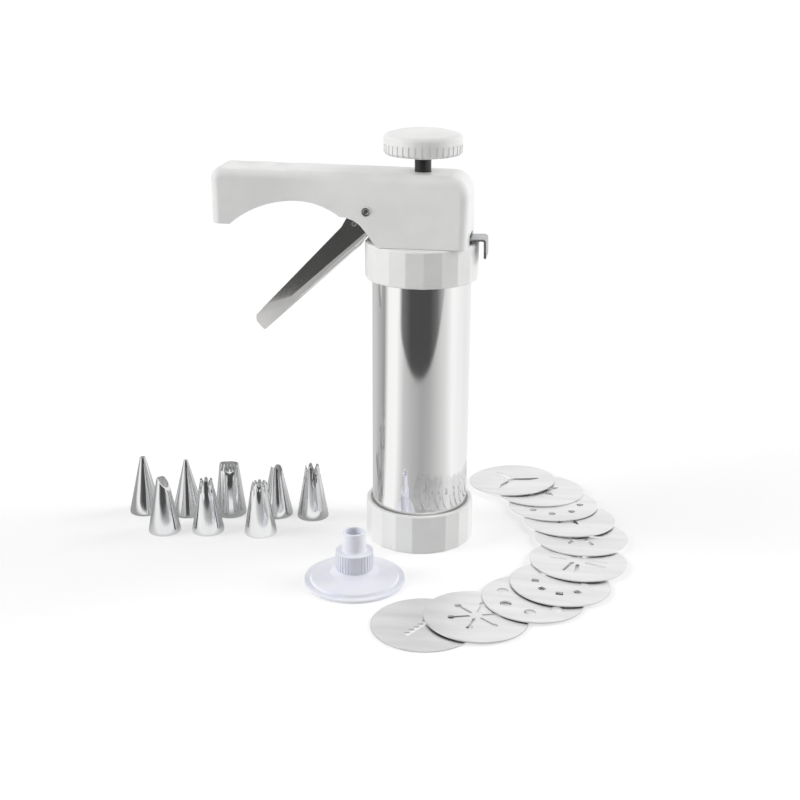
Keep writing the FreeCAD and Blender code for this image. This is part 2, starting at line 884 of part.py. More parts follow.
def make_piston_rod():
    """Black rod from the knob down to the piston, with a turned stud for its nut."""
    body = new_body("piston_rod")
    stud = flat_sketch(body, "StudSection", PISTON_BOTTOM)
    draw_circle(stud, STUD_R)
    pad(body, "Stud", stud, ROD_SHOULDER - PISTON_BOTTOM)
    shank = flat_sketch(body, "ShankSection", ROD_SHOULDER)
    draw_circle(shank, ROD_R)
    pad(body, "Shank", shank, ROD_TOP - ROD_SHOULDER)
    return body


def make_knob():
    """Domed knob in flats: a tall rim with grip ribs over a short neck at the rod."""
    rim_r = size("knob_diameter") / 2
    neck_r = size("knob_neck_diameter") / 2
    dome = size("knob_dome")
    rib = size("knob_rib").value
    form = spun_flats("KnobForm", KNOB_FLATS, [
        (neck_r, KNOB_BOTTOM),
        (neck_r + 1.5, KNOB_BOTTOM + 1.2),
        (rim_r - 1.5, KNOB_RIM_BOTTOM - 0.6, rib),
        (rim_r, KNOB_RIM_BOTTOM + 0.6, rib),
        (rim_r, KNOB_RIM_BOTTOM + size("knob_rim") / 2, rib),
        (rim_r, KNOB_RIM_TOP - 0.8),
        (rim_r - 1.2, KNOB_RIM_TOP),
        (rim_r * 0.6, KNOB_TOP - dome * 0.3),
        (rim_r * 0.25, KNOB_TOP),
    ])
    socket = cylinder("KnobSocket", ROD_R, ROD_TOP - KNOB_BOTTOM + OVERSHOOT, 0, 0,
                      KNOB_BOTTOM - OVERSHOOT)
    return cut_away("knob", form, socket)


def make_piston():
    """Moulded cup with a waist for the seal, a hub for the rod and a sunk nut seat."""
    body = new_body("piston")
    rim_r = size("piston_diameter") / 2
    flange = (size("piston_height") - size("seal_cord")) / 2
    waist_bottom = PISTON_BOTTOM + flange
    stages = (
        ("LowerFlange", rim_r, PISTON_BOTTOM, flange),
        ("Waist", SEAL_INNER_R, waist_bottom, size("seal_cord")),
        ("UpperFlange", rim_r, waist_bottom + size("seal_cord"), flange),
    )
    for name, radius, bottom, height in stages:
        outline = flat_sketch(body, f"{name}Outline", bottom)
        draw_flats(outline, HIDDEN_FLATS, radius)
        pad(body, name, outline, height)
    cup = flat_sketch(body, "CupOutline", PISTON_TOP)
    draw_flats(cup, HIDDEN_FLATS, SEAL_INNER_R - size("piston_wall") / 2)
    draw_flats(cup, SMALL_FLATS, size("piston_hub") / 2 + size("piston_seat"))
    pocket(body, "Cup", cup, size("piston_height") - size("piston_floor"))
    rod_hole = flat_sketch(body, "RodHoleOutline", PISTON_TOP)
    draw_hole_flats(rod_hole, SMALL_FLATS, ROD_R)
    pocket(body, "RodHole", rod_hole, PISTON_TOP - ROD_SHOULDER)
    stud_hole = flat_sketch(body, "StudHoleOutline", PISTON_TOP)
    draw_hole_flats(stud_hole, SMALL_FLATS, STUD_R)
    pocket_through(body, "StudHole", stud_hole)
    nut_seat = flat_sketch(body, "NutSeatOutline", WASHER_TOP)
    draw_hole_flats(nut_seat, SMALL_FLATS, size("washer_diameter") / 2)
    pocket(body, "NutSeat", nut_seat, size("piston_height"))
    return body


def make_piston_seal():
    """Rubber ring in the piston's waist, just clear of the bore."""
    body = new_body("piston_seal")
    flange = (size("piston_height") - size("seal_cord")) / 2
    section = flat_sketch(body, "Section", PISTON_BOTTOM + flange)
    draw_flats(section, HIDDEN_FLATS, TUBE_BORE_R - size("seal_fit"))
    draw_flats(section, HIDDEN_FLATS, SEAL_INNER_R)
    pad(body, "Ring", section, size("seal_cord"))
    return body


def make_piston_washer():
    """Washer between the piston's floor and the nut."""
    body = new_body("piston_washer")
    section = flat_sketch(body, "Section", NUT_TOP)
    draw_flats(section, SMALL_FLATS, size("washer_diameter") / 2)
    draw_hole_flats(section, SMALL_FLATS, STUD_R)
    pad(body, "Washer", section, size("washer_thickness"))
    return body


def make_piston_nut():
    """Hexagon nut on the rod's stud, sunk in the piston's underside."""
    body = new_body("piston_nut")
    section = flat_sketch(body, "Section", PISTON_BOTTOM)
    draw_hole_flats(section, 6, size("nut_across_flats") / 2)
    draw_hole_flats(section, SMALL_FLATS, STUD_R)
    pad(body, "Nut", section, size("nut_height"))
    return body


# ---------------------------------------------------------------- squeeze lever


def lever_placement():
    """The lever is drawn level along -X from its pivot and hangs down at its slope."""
    base = Vector(-size("pivot_back").value, 0, PIVOT.value)
    return Placement(base, Rotation(Y_AXIS, -size("lever_slope").value))


def hung(x, z, radius=0.0):
    """A corner given from the pivot as the lever hangs, in the lever's own level frame."""
    level = Rotation(Y_AXIS, size("lever_slope").value).multVec(Vector(x, 0, z))
    return (level.x, level.z, radius)


def nose_centre():
    """Centre of the rounded noses from the pivot, as the lever hangs."""
    angle = math.radians(size("nose_angle").value)
    arm = size("nose_arm").value
    return Vector(arm * math.cos(angle), 0, arm * math.sin(angle))


def lever_side_view():
    """The lever from the side: handle, ears at the pivot and noses towards the rod."""
    depth = size("lever_depth").value
    reach = size("lever_reach").value
    heel = size("lever_heel").value
    ear = size("ear_start").value
    step = size("ear_step").value
    rise = size("ear_rise").value
    tip_top = size("lever_tip_depth").value - depth
    throat_top = size("lever_throat_depth").value - depth
    radius = size("nose_radius").value
    nose = nose_centre()
    return rounded_outline("LeverSideView", [
        (-heel / 6, heel / 2 - depth, 0),
        (-heel, -depth, heel),
        (-reach, -depth, size("lever_bend").value),
        (-reach, tip_top, size("lever_tip_corner").value),
        (-ear, throat_top, 0),
        (step - ear, (throat_top + rise) / 2, 0),
        (-heel, rise, radius),
        (heel / 4, rise, 0),
        hung(nose.x + radius, nose.z + radius, radius / 2),
        hung(nose.x + radius, nose.z - radius, radius),
        hung(nose.x - radius, nose.z - radius, radius),
        hung(nose.x - radius, nose.z),
    ], X_AXIS, Z_AXIS)


def lever_plan(name, inset):
    """The lever from above: a parallel strip that draws in to a rounded tip."""
    half = size("lever_width").value / 2 - inset
    tip = inset - size("lever_reach").value
    rear = size("nose_arm").value * 2
    shoulder = tip + size("lever_bow_length").value
    narrow = half - size("lever_bow_draw").value
    bow = size("lever_bow_radius").value
    end = size("lever_end_radius").value - inset
    return rounded_outline(name, [
        (rear, -half, 0),
        (rear, half, 0),
        (shoulder, half, bow),
        (tip, narrow, end),
        (tip, -narrow, end),
        (shoulder, -half, bow),
    ], X_AXIS, Y_AXIS)


def lever_section(name, inset):
    """The lever's channel from the end: a web with rounded bends into two cheeks."""
    half = size("lever_width").value / 2 - inset
    web = inset - size("lever_depth").value
    bend = size("lever_bend").value - inset
    high = size("nose_arm").value * 2
    return rounded_outline(name, [
        (-half, web, bend),
        (half, web, bend),
        (half, high, 0),
        (-half, high, 0),
    ], Y_AXIS, Z_AXIS)


def lever_hollow_side(sheet):
    """The hollow in the lever's channel from the side."""
    tip = sheet - size("lever_reach").value
    web = sheet - size("lever_depth").value
    far = size("nose_arm").value * 2
    return rounded_outline("LeverHollowSide", [
        (far, web, 0),
        (far, far, 0),
        (tip, far, 0),
        (tip, web, size("lever_bend").value - sheet),
    ], X_AXIS, Z_AXIS)


def make_trigger_lever():
    """Pressed steel channel: web underneath, cheeks that fork to noses beside the rod."""
    width = size("lever_width")
    sheet_metal = size("lever_sheet")
    inset = sheet_metal.value
    blank = three_views("LeverBlank", lever_side_view(), lever_plan("LeverPlan", 0.0),
                        lever_section("LeverSection", 0.0))
    hollow = three_views("LeverHollow", lever_hollow_side(inset),
                         lever_plan("LeverHollowPlan", inset),
                         lever_section("LeverHollowSection", inset))
    channel = cut_away("LeverChannel", blank, hollow)
    reach = size("lever_reach")
    fork = box("LeverFork", reach, width - 2 * sheet_metal, reach,
               -size("lever_heel"), -reach / 2)
    pin_hole = cross_flats("LeverPinHole", size("pivot_pin_diameter") / 2 + size("pin_fit"),
                          width * 2, 0, 0)
    stop_hole = cross_flats("LeverStopHole", size("stop_pin_diameter") / 2, width * 2,
                           -size("stop_pin_reach"), -size("stop_pin_drop"))
    lever = cut_away("trigger_lever", channel,
                     group_of("LeverCuts", [fork, pin_hole, stop_hole]))
    lever.Placement = lever_placement()
    return lever


def make_lever_stop_pin():
    """Small cross pin through the lever's cheeks, beside the head's edge."""
    width = size("lever_width") + size("stop_pin_proud") * 2
    pin = cross_pin("StopPinCylinder", size("stop_pin_diameter") / 2, width,
                    -size("stop_pin_reach"), -size("stop_pin_drop"))
    group = group_of("lever_stop_pin", [pin])
    group.Placement = lever_placement()
    return group


# ---------------------------------------------------------------- friction plates and springs


def drive_plate_top():
    """Height of the drive plate's top, just under the lever's noses at rest."""
    nose_bottom = PIVOT.value + nose_centre().z - size("nose_radius").value
    return nose_bottom - size("nose_gap").value


def draw_plate(sketch, front, rear, half, corner):
    """A plate's outline with its two rear corners cut off."""
    draw_polygon(sketch, [
        (front, -half),
        (rear - corner, -half),
        (rear, corner - half),
        (rear, half - corner),
        (rear - corner, half),
        (front, half),
    ])


def make_drive_plate():
    """Hard steel plate that grips the rod when the noses push its front edge down."""
    body = new_body("drive_plate")
    thickness = size("drive_plate_thickness")
    front = -size("drive_plate_front")
    outline = flat_sketch(body, "Blank", drive_plate_top() - thickness)
    draw_plate(outline, front, front + size("drive_plate_length"),
               size("drive_plate_width") / 2, size("plate_corner"))
    draw_hole_flats(outline, SMALL_FLATS, ROD_R + size("rod_fit"))
    pad(body, "Plate", outline, thickness)
    return body


def make_lock_plate():
    """Tilted steel plate that holds the rod down; its bent tail is the release tab."""
    body = new_body("lock_plate")
    thickness = size("lock_plate_thickness")
    tail = size("tab_reach")
    half = size("lock_plate_width") / 2
    tab_half = size("tab_width") / 2
    shoulder = size("head_rear") - size("head_wall") * 2
    outline = flat_sketch(body, "Blank", 0)
    draw_polygon(outline, [
        (-size("lock_front"), -half),
        (shoulder, -half),
        (shoulder, -tab_half),
        (tail, -tab_half),
        (tail, tab_half),
        (shoulder, tab_half),
        (shoulder, half),
        (-size("lock_front"), half),
    ])
    draw_hole_flats(outline, SMALL_FLATS, ROD_R + size("rod_fit"))
    pad(body, "Plate", outline, thickness)
    tab = new_sketch(body, "TabSide", "XZ_Plane")
    tab_bottom = thickness - size("tab_drop")
    draw_polygon(tab, [
        (tail - thickness, thickness / 2),
        (tail - thickness, tab_bottom),
        (tail, tab_bottom),
        (tail, thickness / 2),
    ])
    pad(body, "Tab", tab, size("tab_width"), symmetric=True)
    front = X_AXIS * -size("lock_front").value
    turn = Rotation(Y_AXIS, -size("lock_tilt").value)
    low = Z_AXIS * (FOOT + size("lock_clearance")).value
    body.Placement = Placement(front + low - turn.multVec(front), turn)
    return body


def coil_spring(name, diameter, wire, turns, bottom, top, x=0.0):
    """A coil of square-section wire, drawn as flat facets round the helix."""
    steps_per_turn = 10
    radius = (diameter - wire) / 2
    rise = top - bottom - wire
    steps = turns * steps_per_turn
    half = wire / 2
    rings = []
    for step in range(steps + 1):
        angle = 2 * math.pi * step / steps_per_turn
        z = bottom + half + rise * step / steps
        ring = []
        for out, up in ((-half, -half), (half, -half), (half, half), (-half, half)):
            reach = radius + out
            ring.append(Vector(x + reach * math.cos(angle), reach * math.sin(angle), z + up))
        rings.append(ring)
    return faceted(name, rings)


def make_drive_spring():
    """Return spring between the seat washer and the drive plate."""
    gap = size("spring_seat_gap").value
    plate_bottom = drive_plate_top() - size("drive_plate_thickness").value
    return coil_spring("drive_spring", size("drive_spring_diameter").value,
                       size("drive_spring_wire").value,
                       int(size("drive_spring_turns").value),
                       SEAT_TOP.value + gap, plate_bottom - gap)


def make_lock_spring():
    """Small spring in the neck's well that tips the lock plate up."""
    gap = size("spring_seat_gap").value
    back = size("lock_spring_back")
    tilt = math.radians(size("lock_tilt").value)
    near = (back + size("lock_front") - size("lock_spring_diameter") / 2).value
    under_plate = (FOOT + size("lock_clearance")).value + near * math.tan(tilt)
    return coil_spring("lock_spring", size("lock_spring_diameter").value,
                       size("lock_spring_wire").value,
                       int(size("lock_spring_turns").value),
                       (FOOT - size("lock_spring_well")).value + gap, under_plate - gap,
                       back.value)


def make_spring_seat():
    """Washer on the foot plate: it bridges the lock plate's channel under the spring."""
    body = new_body("spring_seat")
    outline = flat_sketch(body, "Section", FOOT_TOP)
    draw_flats(outline, SMALL_FLATS, size("spring_seat_diameter") / 2)
    draw_hole_flats(outline, SMALL_FLATS, ROD_R + size("rod_hole_fit"))
    pad(body, "Washer", outline, size("spring_seat_thickness"))
    return body


# ---------------------------------------------------------------- loose set: nozzles


class Nozzle:
    """One nozzle of the set: its height and mouth, and the place where it stands."""

    def __init__(self, name, height, mouth_radius, x, y, turn=0.0, teeth=0, tooth=0.0):
        self.name = name
        self.height = height
        self.mouth_radius = mouth_radius
        self.x = x
        self.y = y
        self.turn = turn
        self.teeth = teeth
        self.tooth = tooth


ROUND_NOZZLES = (
    Nozzle("nozzle_round", 32.1, 1.5, -154.5, 3.2),
    Nozzle("nozzle_round_fine", 31.4, 1.1, -130.3, 4.3),
)
STAR_NOZZLES = (
    Nozzle("nozzle_star_closed", 29.8, 3.2, -112.9, -16.1, 15.0, 6, 4.0),
    Nozzle("nozzle_star_fine", 29.1, 4.0, -84.3, -14.1, 0.0, 9, 2.2),
    Nozzle("nozzle_star_open", 30.1, 3.6, -60.9, 11.2, 10.0, 5, 6.0),
)
PETAL_NOZZLE = Nozzle("nozzle_petal", 30.4, 2.9, -136.0, -19.8, -20.0)
LEAF_NOZZLE = Nozzle("nozzle_leaf", 28.4, 2.9, -81.0, 10.7, 60.0)
BASKET_NOZZLE = Nozzle("nozzle_basket", 29.7, 5.2, -106.9, 8.0, 8.0)
BASKET_HALF_DEPTH = 2.6
BASKET_TEETH = 5
BASKET_PITCH = 1.75


def nozzle_sections(nozzle, inset, past):
    """Corner radius and height of a nozzle's three sections, inside or outside."""
    foot_r = size("nozzle_base") / 2 - inset
    foot = size("nozzle_foot")
    mouth_r = nozzle.mouth_radius - as_length(inset)
    narrowing = (foot_r.value - mouth_r.value) / (nozzle.height - foot.value)
    return [
        (foot_r, -past),
        (foot_r, foot),
        (mouth_r - past * narrowing, nozzle.height + past),
    ]


def nozzle_shell(nozzle):
    """Thin cone with a plain foot, open at both ends."""
    outside = spun_flats(f"{nozzle.name}_outside", NOZZLE_FLATS,
                         nozzle_sections(nozzle, 0, 0))
    inside = spun_flats(f"{nozzle.name}_inside", NOZZLE_FLATS,
                        nozzle_sections(nozzle, size("nozzle_wall"), 0.2))
    return outside, inside


def wedge_cut(name, points, direction, length):
    """A triangular cutting tool, drawn to both sides of its outline."""
    corners = [(x, z, 0) for x, z in points]
    across = Y_AXIS if direction == X_AXIS else X_AXIS
    return prism(name, rounded_outline(f"{name}Outline", corners, across, Z_AXIS),
                 direction, length)


def finish_nozzle(nozzle, outside, tools):
    """Cut a nozzle's hollow and mouth, and stand it in its place."""
    item = cut_away(nozzle.name, outside, group_of(f"{nozzle.name}_cuts", tools))
    item.Placement = Placement(Vector(nozzle.x, nozzle.y, 0), Rotation(Z_AXIS, nozzle.turn))
    return item


def make_round_nozzle(nozzle):
    """Nozzle with a plain round mouth."""
    outside, inside = nozzle_shell(nozzle)
    return finish_nozzle(nozzle, outside, [inside])


def make_star_nozzle(nozzle):
    """Nozzle whose mouth is cut into pointed teeth."""
    outside, inside = nozzle_shell(nozzle)
    tools = [inside]
    half = nozzle.mouth_radius * math.sin(math.pi / nozzle.teeth) * 0.8
    high = nozzle.height + 0.5
    for index in range(nozzle.teeth):
        turn = Rotation(Z_AXIS, 360.0 * index / nozzle.teeth)
        notch = wedge_cut(f"{nozzle.name}_notch{index}", [
            (-half, high),
            (0, nozzle.height - nozzle.tooth),
            (half, high),
        ], X_AXIS, nozzle.mouth_radius * 4)
        outward = group_of(f"{nozzle.name}_notch{index}_placed", [notch])
        outward.Placement = Placement(turn.multVec(X_AXIS) * nozzle.mouth_radius * 2, turn)
        tools.append(outward)
    return finish_nozzle(nozzle, outside, tools)


def make_petal_nozzle(nozzle):
    """Nozzle cut off at a slant, so that its mouth is a long drop."""
    outside, inside = nozzle_shell(nozzle)
    slant = wedge_cut(f"{nozzle.name}_slant", [
        (-1.0, nozzle.height + 0.5),
        (6.0, nozzle.height + 0.5),
        (6.0, nozzle.height - 8.0),
    ], Y_AXIS, size("nozzle_base"))
    return finish_nozzle(nozzle, outside, [inside, slant])


def make_leaf_nozzle(nozzle):
    """Nozzle with a deep V across it, which leaves two bills."""
    outside, inside = nozzle_shell(nozzle)
    bills = wedge_cut(f"{nozzle.name}_bills", [
        (-2.2, nozzle.height + 0.5),
        (0, nozzle.height - 5.0),
        (2.2, nozzle.height + 0.5),
    ], Y_AXIS, size("nozzle_base"))
    return finish_nozzle(nozzle, outside, [inside, bills])


def make_basket_nozzle(nozzle):
    """Nozzle that flattens to a wide mouth with a toothed edge."""
    foot_r = size("nozzle_base").value / 2
    wall = size("nozzle_wall").value
    walls = []
    for label, inset, past in (("outside", 0.0, 0.0), ("inside", wall, 0.2)):
        radius = foot_r - inset
        walls.append(faceted(f"{nozzle.name}_{label}", [
            level_ring(NOZZLE_FLATS, radius, radius, -past),
            level_ring(NOZZLE_FLATS, nozzle.mouth_radius - inset,
                       BASKET_HALF_DEPTH - inset, nozzle.height + past),
        ]))
    outside, inside = walls
    tools = [inside]
    for index in range(BASKET_TEETH):
        x = BASKET_PITCH * (index - BASKET_TEETH / 2)
        tools.append(box(f"{nozzle.name}_notch{index}", BASKET_PITCH / 2, BASKET_HALF_DEPTH,
                         BASKET_HALF_DEPTH, x, nozzle.height - 1.2, -BASKET_HALF_DEPTH))
    return finish_nozzle(nozzle, outside, tools)


def make_nozzles():
    """All eight nozzles of the set."""
    nozzles = [make_round_nozzle(nozzle) for nozzle in ROUND_NOZZLES]
    nozzles += [make_star_nozzle(nozzle) for nozzle in STAR_NOZZLES]
    nozzles.append(make_petal_nozzle(PETAL_NOZZLE))
    nozzles.append(make_leaf_nozzle(LEAF_NOZZLE))
    nozzles.append(make_basket_nozzle(BASKET_NOZZLE))
    return nozzles


ADAPTOR_SPOT = Vector(-24.4, -61.1, 0)


def make_adaptor():
    """Clear plastic adaptor: a flange for the bottom ring and a stem for a nozzle."""
    flange_r = size("adaptor_diameter") / 2
    flange = size("adaptor_flange")
    rim = size("adaptor_rim")
    step_top = flange + size("adaptor_step")
    collar_r = size("adaptor_collar") / 2
    collar = size("adaptor_collar_top")
    rib = size("adaptor_rib").value
    stem_r = size("adaptor_tube") / 2
    dome = spun_flats("AdaptorDome", ADAPTOR_FLATS, [
        (flange_r - rim, 0),
        (flange_r - rim, flange),
        (flange_r - rim - 0.6, step_top),
        (collar_r + rim, size("adaptor_dome") - 2.2),
        (collar_r, size("adaptor_dome"), rib),
        (collar_r, collar, rib),
        (stem_r + 0.6, collar + 1.6),
        (stem_r, collar + 2.4),
        (stem_r, size("adaptor_height")),
    ])
    plate = spun_flats("AdaptorFlange", ADAPTOR_FLATS, [(flange_r, 0), (flange_r, flange)])
    form = joined("AdaptorForm", [dome, plate])
    bore_r = size("adaptor_bore") / 2
    bore = spun_flats("AdaptorBore", SMALL_FLATS, [
        (bore_r, -OVERSHOOT),
        (bore_r, size("adaptor_height") + OVERSHOOT),
    ])
    adaptor = cut_away("nozzle_adaptor", form, bore)
    adaptor.Placement = Placement(ADAPTOR_SPOT, Rotation())
    return adaptor


# ---------------------------------------------------------------- loose set: discs


def propeller_holes(sketch):
    """One of three arms that meet in the middle."""
    draw_polygon(sketch, [(0, -1.2), (9, -1.6), (14, 1.2), (10, 1.4), (0, 1.2), (-1.2, 0)])
    return 3


def leaf_holes(sketch):
    """One of five leaf-shaped holes round the middle."""
    draw_polygon(sketch, [(4, 0), (7, -2.2), (12, 0), (7, 2.2)])
    return 5


def dot_holes(sketch):
    """One of a ring of small round holes."""
    draw_flats(sketch, 8, 1.6, 0.0, 14.0)
    return 8


def star_holes(sketch):
    """One point of a star in the middle."""
    draw_polygon(sketch, [(-1.5, 0), (2.6, -2.6), (10, 0), (2.6, 2.6)])
    return 5


def flower_holes(sketch):
    """One of six short slots with pointed ends."""
    draw_polygon(sketch, [(4, 0), (5.1, -1.1), (11.9, -1.1), (13, 0), (11.9, 1.1), (5.1, 1.1)])
    return 6


def comb_holes(sketch):
    """One of four pairs of slanting slots."""
    draw_polygon(sketch, [(3, 2), (5, 1), (14, 8), (12.6, 9.4)])
    draw_polygon(sketch, [(2, 5), (4, 4.6), (9, 12), (7, 12.6)])
    return 4


def square_holes(sketch):
    """One of a ring of small squares."""
    draw_polygon(sketch, [(10.4, -1.8), (14, -1.8), (14, 1.8), (10.4, 1.8)])
    return 8


def oval_holes(sketch):
    """One of a ring of larger round holes."""
    draw_flats(sketch, 8, 2.4, 0.0, 15.0)
    return 7


def asterisk_holes(sketch):
    """One of six thin arms with a wider end."""
    draw_polygon(sketch, [(3, -0.7), (10.5, -0.7), (11.2, -1.5), (13.2, -1.5),
                          (13.9, 0), (13.2, 1.5), (11.2, 1.5), (10.5, 0.7), (3, 0.7)])
    return 6


def ribbon_holes(sketch):
    """One long slot with a sawtooth edge."""
    teeth = 8
    pitch = 3.4
    end = teeth * pitch / 2
    outline = [(-end, -1.2), (end, -1.2), (end, 0.4)]
    for index in range(teeth):
        outline.append((end - (index + 0.5) * pitch, 2.4))
        outline.append((end - (index + 1) * pitch, 0.4))
    draw_polygon(sketch, outline)
    return 1


class Disc:
    """One shaping disc: the holes it has, its place in the fan and its turn."""

    def __init__(self, name, holes, x, y, turn):
        self.name = name
        self.holes = holes
        self.x = x
        self.y = y
        self.turn = turn


# The fan from the disc that lies flat to the one on top, each leaning on those before it.
DISC_FAN = (
    Disc("disc_ribbon", ribbon_holes, 15.6, -101.1, 60.0),
    Disc("disc_asterisk", asterisk_holes, 39.0, -91.3, 20.0),
    Disc("disc_ovals", oval_holes, 64.6, -69.4, 10.0),
    Disc("disc_squares", square_holes, 77.1, -52.8, 0.0),
    Disc("disc_comb", comb_holes, 85.6, -26.1, 30.0),
    Disc("disc_flower", flower_holes, 86.7, 2.8, 0.0),
    Disc("disc_star", star_holes, 80.0, 23.6, 15.0),
    Disc("disc_dots", dot_holes, 70.6, 42.4, 0.0),
    Disc("disc_leaves", leaf_holes, 62.5, 61.2, 25.0),
    Disc("disc_propeller", propeller_holes, 45.5, 73.4, 50.0),
)
FAN_CLEARANCE = 0.05
STEEPEST_LEAN = 20.0
LEAN_HALVINGS = 40


class LyingDisc:
    """Where a disc of the fan lies: its centre, the way it leans and how far."""

    def __init__(self, x, y, lean_x, lean_y):
        self.x = x
        self.y = y
        self.lean_x = lean_x
        self.lean_y = lean_y
        self.tilt = 0.0

    def along(self, x, y):
        """How far a point lies from the centre towards the low side."""
        return (x - self.x) * self.lean_x + (y - self.y) * self.lean_y

    def underside(self, x, y, radius):
        """Height of the disc's underside over a point of the floor."""
        return radius * math.sin(self.tilt) - math.tan(self.tilt) * self.along(x, y)

    def rim(self, radius, steps=72):
        """Points round the disc's edge, seen from above."""
        points = []
        for step in range(steps):
            angle = 2 * math.pi * step / steps
            points.append((self.x + radius * math.cos(angle), self.y + radius * math.sin(angle)))
        return points

    def covers(self, x, y, radius):
        """Whether a point of the floor is under the disc."""
        return math.hypot(x - self.x, y - self.y) <= radius + 1e-6


def lean_on(lying, below, radius, thickness):
    """Tilt a disc until its underside clears every disc it overlaps."""
    shared = []
    for other in below:
        points = [point for point in lying.rim(radius) if other.covers(*point, radius)]
        points += [point for point in other.rim(radius) if lying.covers(*point, radius)]
        for x, y in points:
            top = other.underside(x, y, radius) + thickness / math.cos(other.tilt)
            shared.append((x, y, top + FAN_CLEARANCE))
    low = 0.0
    high = math.radians(STEEPEST_LEAN)
    for _ in range(LEAN_HALVINGS):
        lying.tilt = (low + high) / 2
        if all(lying.underside(x, y, radius) >= top for x, y, top in shared):
            high = lying.tilt
        else:
            low = lying.tilt
    lying.tilt = high


def make_disc(disc, lying, radius):
    """One shaping disc in its place in the fan."""
    body = new_body(disc.name)
    outline = flat_sketch(body, "Rim", 0)
    draw_flats(outline, DISC_FLATS, size("disc_diameter") / 2)
    pad(body, "Blank", outline, size("disc_thickness"))
    sketch = flat_sketch(body, "HoleOutline", 0)
    count = disc.holes(sketch)
    cut = pocket_through(body, "Hole", sketch)
    if count > 1:
        repeat_round(body, "Holes", cut, sketch, count)
    tilt = Rotation(Vector(-lying.lean_y, lying.lean_x, 0), math.degrees(lying.tilt))
    spot = Vector(lying.x, lying.y, radius * math.sin(lying.tilt))
    body.Placement = Placement(spot, tilt.multiply(Rotation(Z_AXIS, disc.turn)))
    return body


def make_discs():
    """The ten discs, fanned out like fallen dominoes."""
    radius = size("disc_diameter").value / 2
    thickness = size("disc_thickness").value
    bodies = []
    below = []
    for disc in DISC_FAN:
        if below:
            step = Vector(disc.x - below[-1].x, disc.y - below[-1].y, 0).normalize()
            lying = LyingDisc(disc.x, disc.y, step.x, step.y)
            lean_on(lying, below, radius, thickness)
        else:
            lying = LyingDisc(disc.x, disc.y, 1.0, 0.0)
        below.append(lying)
        bodies.append(make_disc(disc, lying, radius))
    return bodies


# ---------------------------------------------------------------- run


def main():
    """Build every sub-part, check it and write its file."""
    nodes = [
        make_barrel_tube(),
        make_bottom_ring(),
        make_top_ring(),
        make_guide_plate(),
        make_guide_screws(),
        make_head_housing(),
        make_pivot_pin(),
        make_piston_rod(),
        make_knob(),
        make_piston(),
        make_piston_seal(),
        make_piston_washer(),
        make_piston_nut(),
        make_trigger_lever(),
        make_lever_stop_pin(),
        make_drive_plate(),
        make_drive_spring(),
        make_lock_plate(),
        make_lock_spring(),
        make_spring_seat(),
        make_adaptor(),
    ]
    nodes.extend(make_nozzles())
    nodes.extend(make_discs())
    doc.recompute()
    check_document()
    os.makedirs("parts", exist_ok=True)
    for node in nodes:
        check_shape(node)
        node.Shape.exportStep(os.path.join("parts", f"{node.Label}.step"))
        print(node.Label, len(node.Shape.Solids), round(node.Shape.Volume, 1))


def check_document():
    """Stop if any object of the document failed to build."""
    for item in doc.Objects:
        if "Invalid" in item.State or "Error" in item.State:
            raise RuntimeError(f"{item.Name} failed: {item.State}")


def check_shape(node):
    """Stop if a sub-part has no sound solid."""
    shape = node.Shape
    if shape.isNull() or not shape.isValid() or not shape.Solids:
        raise RuntimeError(f"{node.Label} has no valid solid")


main()
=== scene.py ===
"""A hand press for churros with its nozzles, adaptor and shaping discs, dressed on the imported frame."""

import logging
import math
from dataclasses import dataclass
from enum import Enum
from typing import Callable, Sequence

import bmesh
import bpy
from mathutils import Euler, Matrix, Vector


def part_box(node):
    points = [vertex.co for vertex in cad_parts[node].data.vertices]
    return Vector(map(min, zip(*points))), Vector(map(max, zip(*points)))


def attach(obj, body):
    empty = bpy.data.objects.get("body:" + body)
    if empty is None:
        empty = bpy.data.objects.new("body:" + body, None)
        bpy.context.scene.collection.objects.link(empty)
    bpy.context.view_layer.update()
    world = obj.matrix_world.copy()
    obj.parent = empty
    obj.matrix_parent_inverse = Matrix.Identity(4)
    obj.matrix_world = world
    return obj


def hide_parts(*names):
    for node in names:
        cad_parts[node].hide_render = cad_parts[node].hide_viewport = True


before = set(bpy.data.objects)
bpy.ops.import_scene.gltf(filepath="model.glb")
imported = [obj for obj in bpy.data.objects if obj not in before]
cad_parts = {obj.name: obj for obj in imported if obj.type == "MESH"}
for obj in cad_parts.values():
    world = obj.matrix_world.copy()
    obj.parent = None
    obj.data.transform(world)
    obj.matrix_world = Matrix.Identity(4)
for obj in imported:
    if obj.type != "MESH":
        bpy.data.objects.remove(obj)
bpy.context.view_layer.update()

MM = 0.001
X = Vector((1, 0, 0))
Y = Vector((0, 1, 0))
Z = Vector((0, 0, 1))

# Sizes that more than one sub-assembly takes, in millimetres: the lever's pivot and the
# holes round its pin, the top of the rod, and how far a tool stands past what it cuts.
PIVOT_X = -25.3
PIVOT_Z = 176.9
PIN_HOLE = 2.46
ROD_TOP = 210.9
PAST = 1.0

Point = tuple[float, float]
Corner = tuple[float, float, float]
Piece = bpy.types.Object
Element = bmesh.types.BMVert | bmesh.types.BMEdge | bmesh.types.BMFace

log = logging.getLogger("press")


# --- outlines


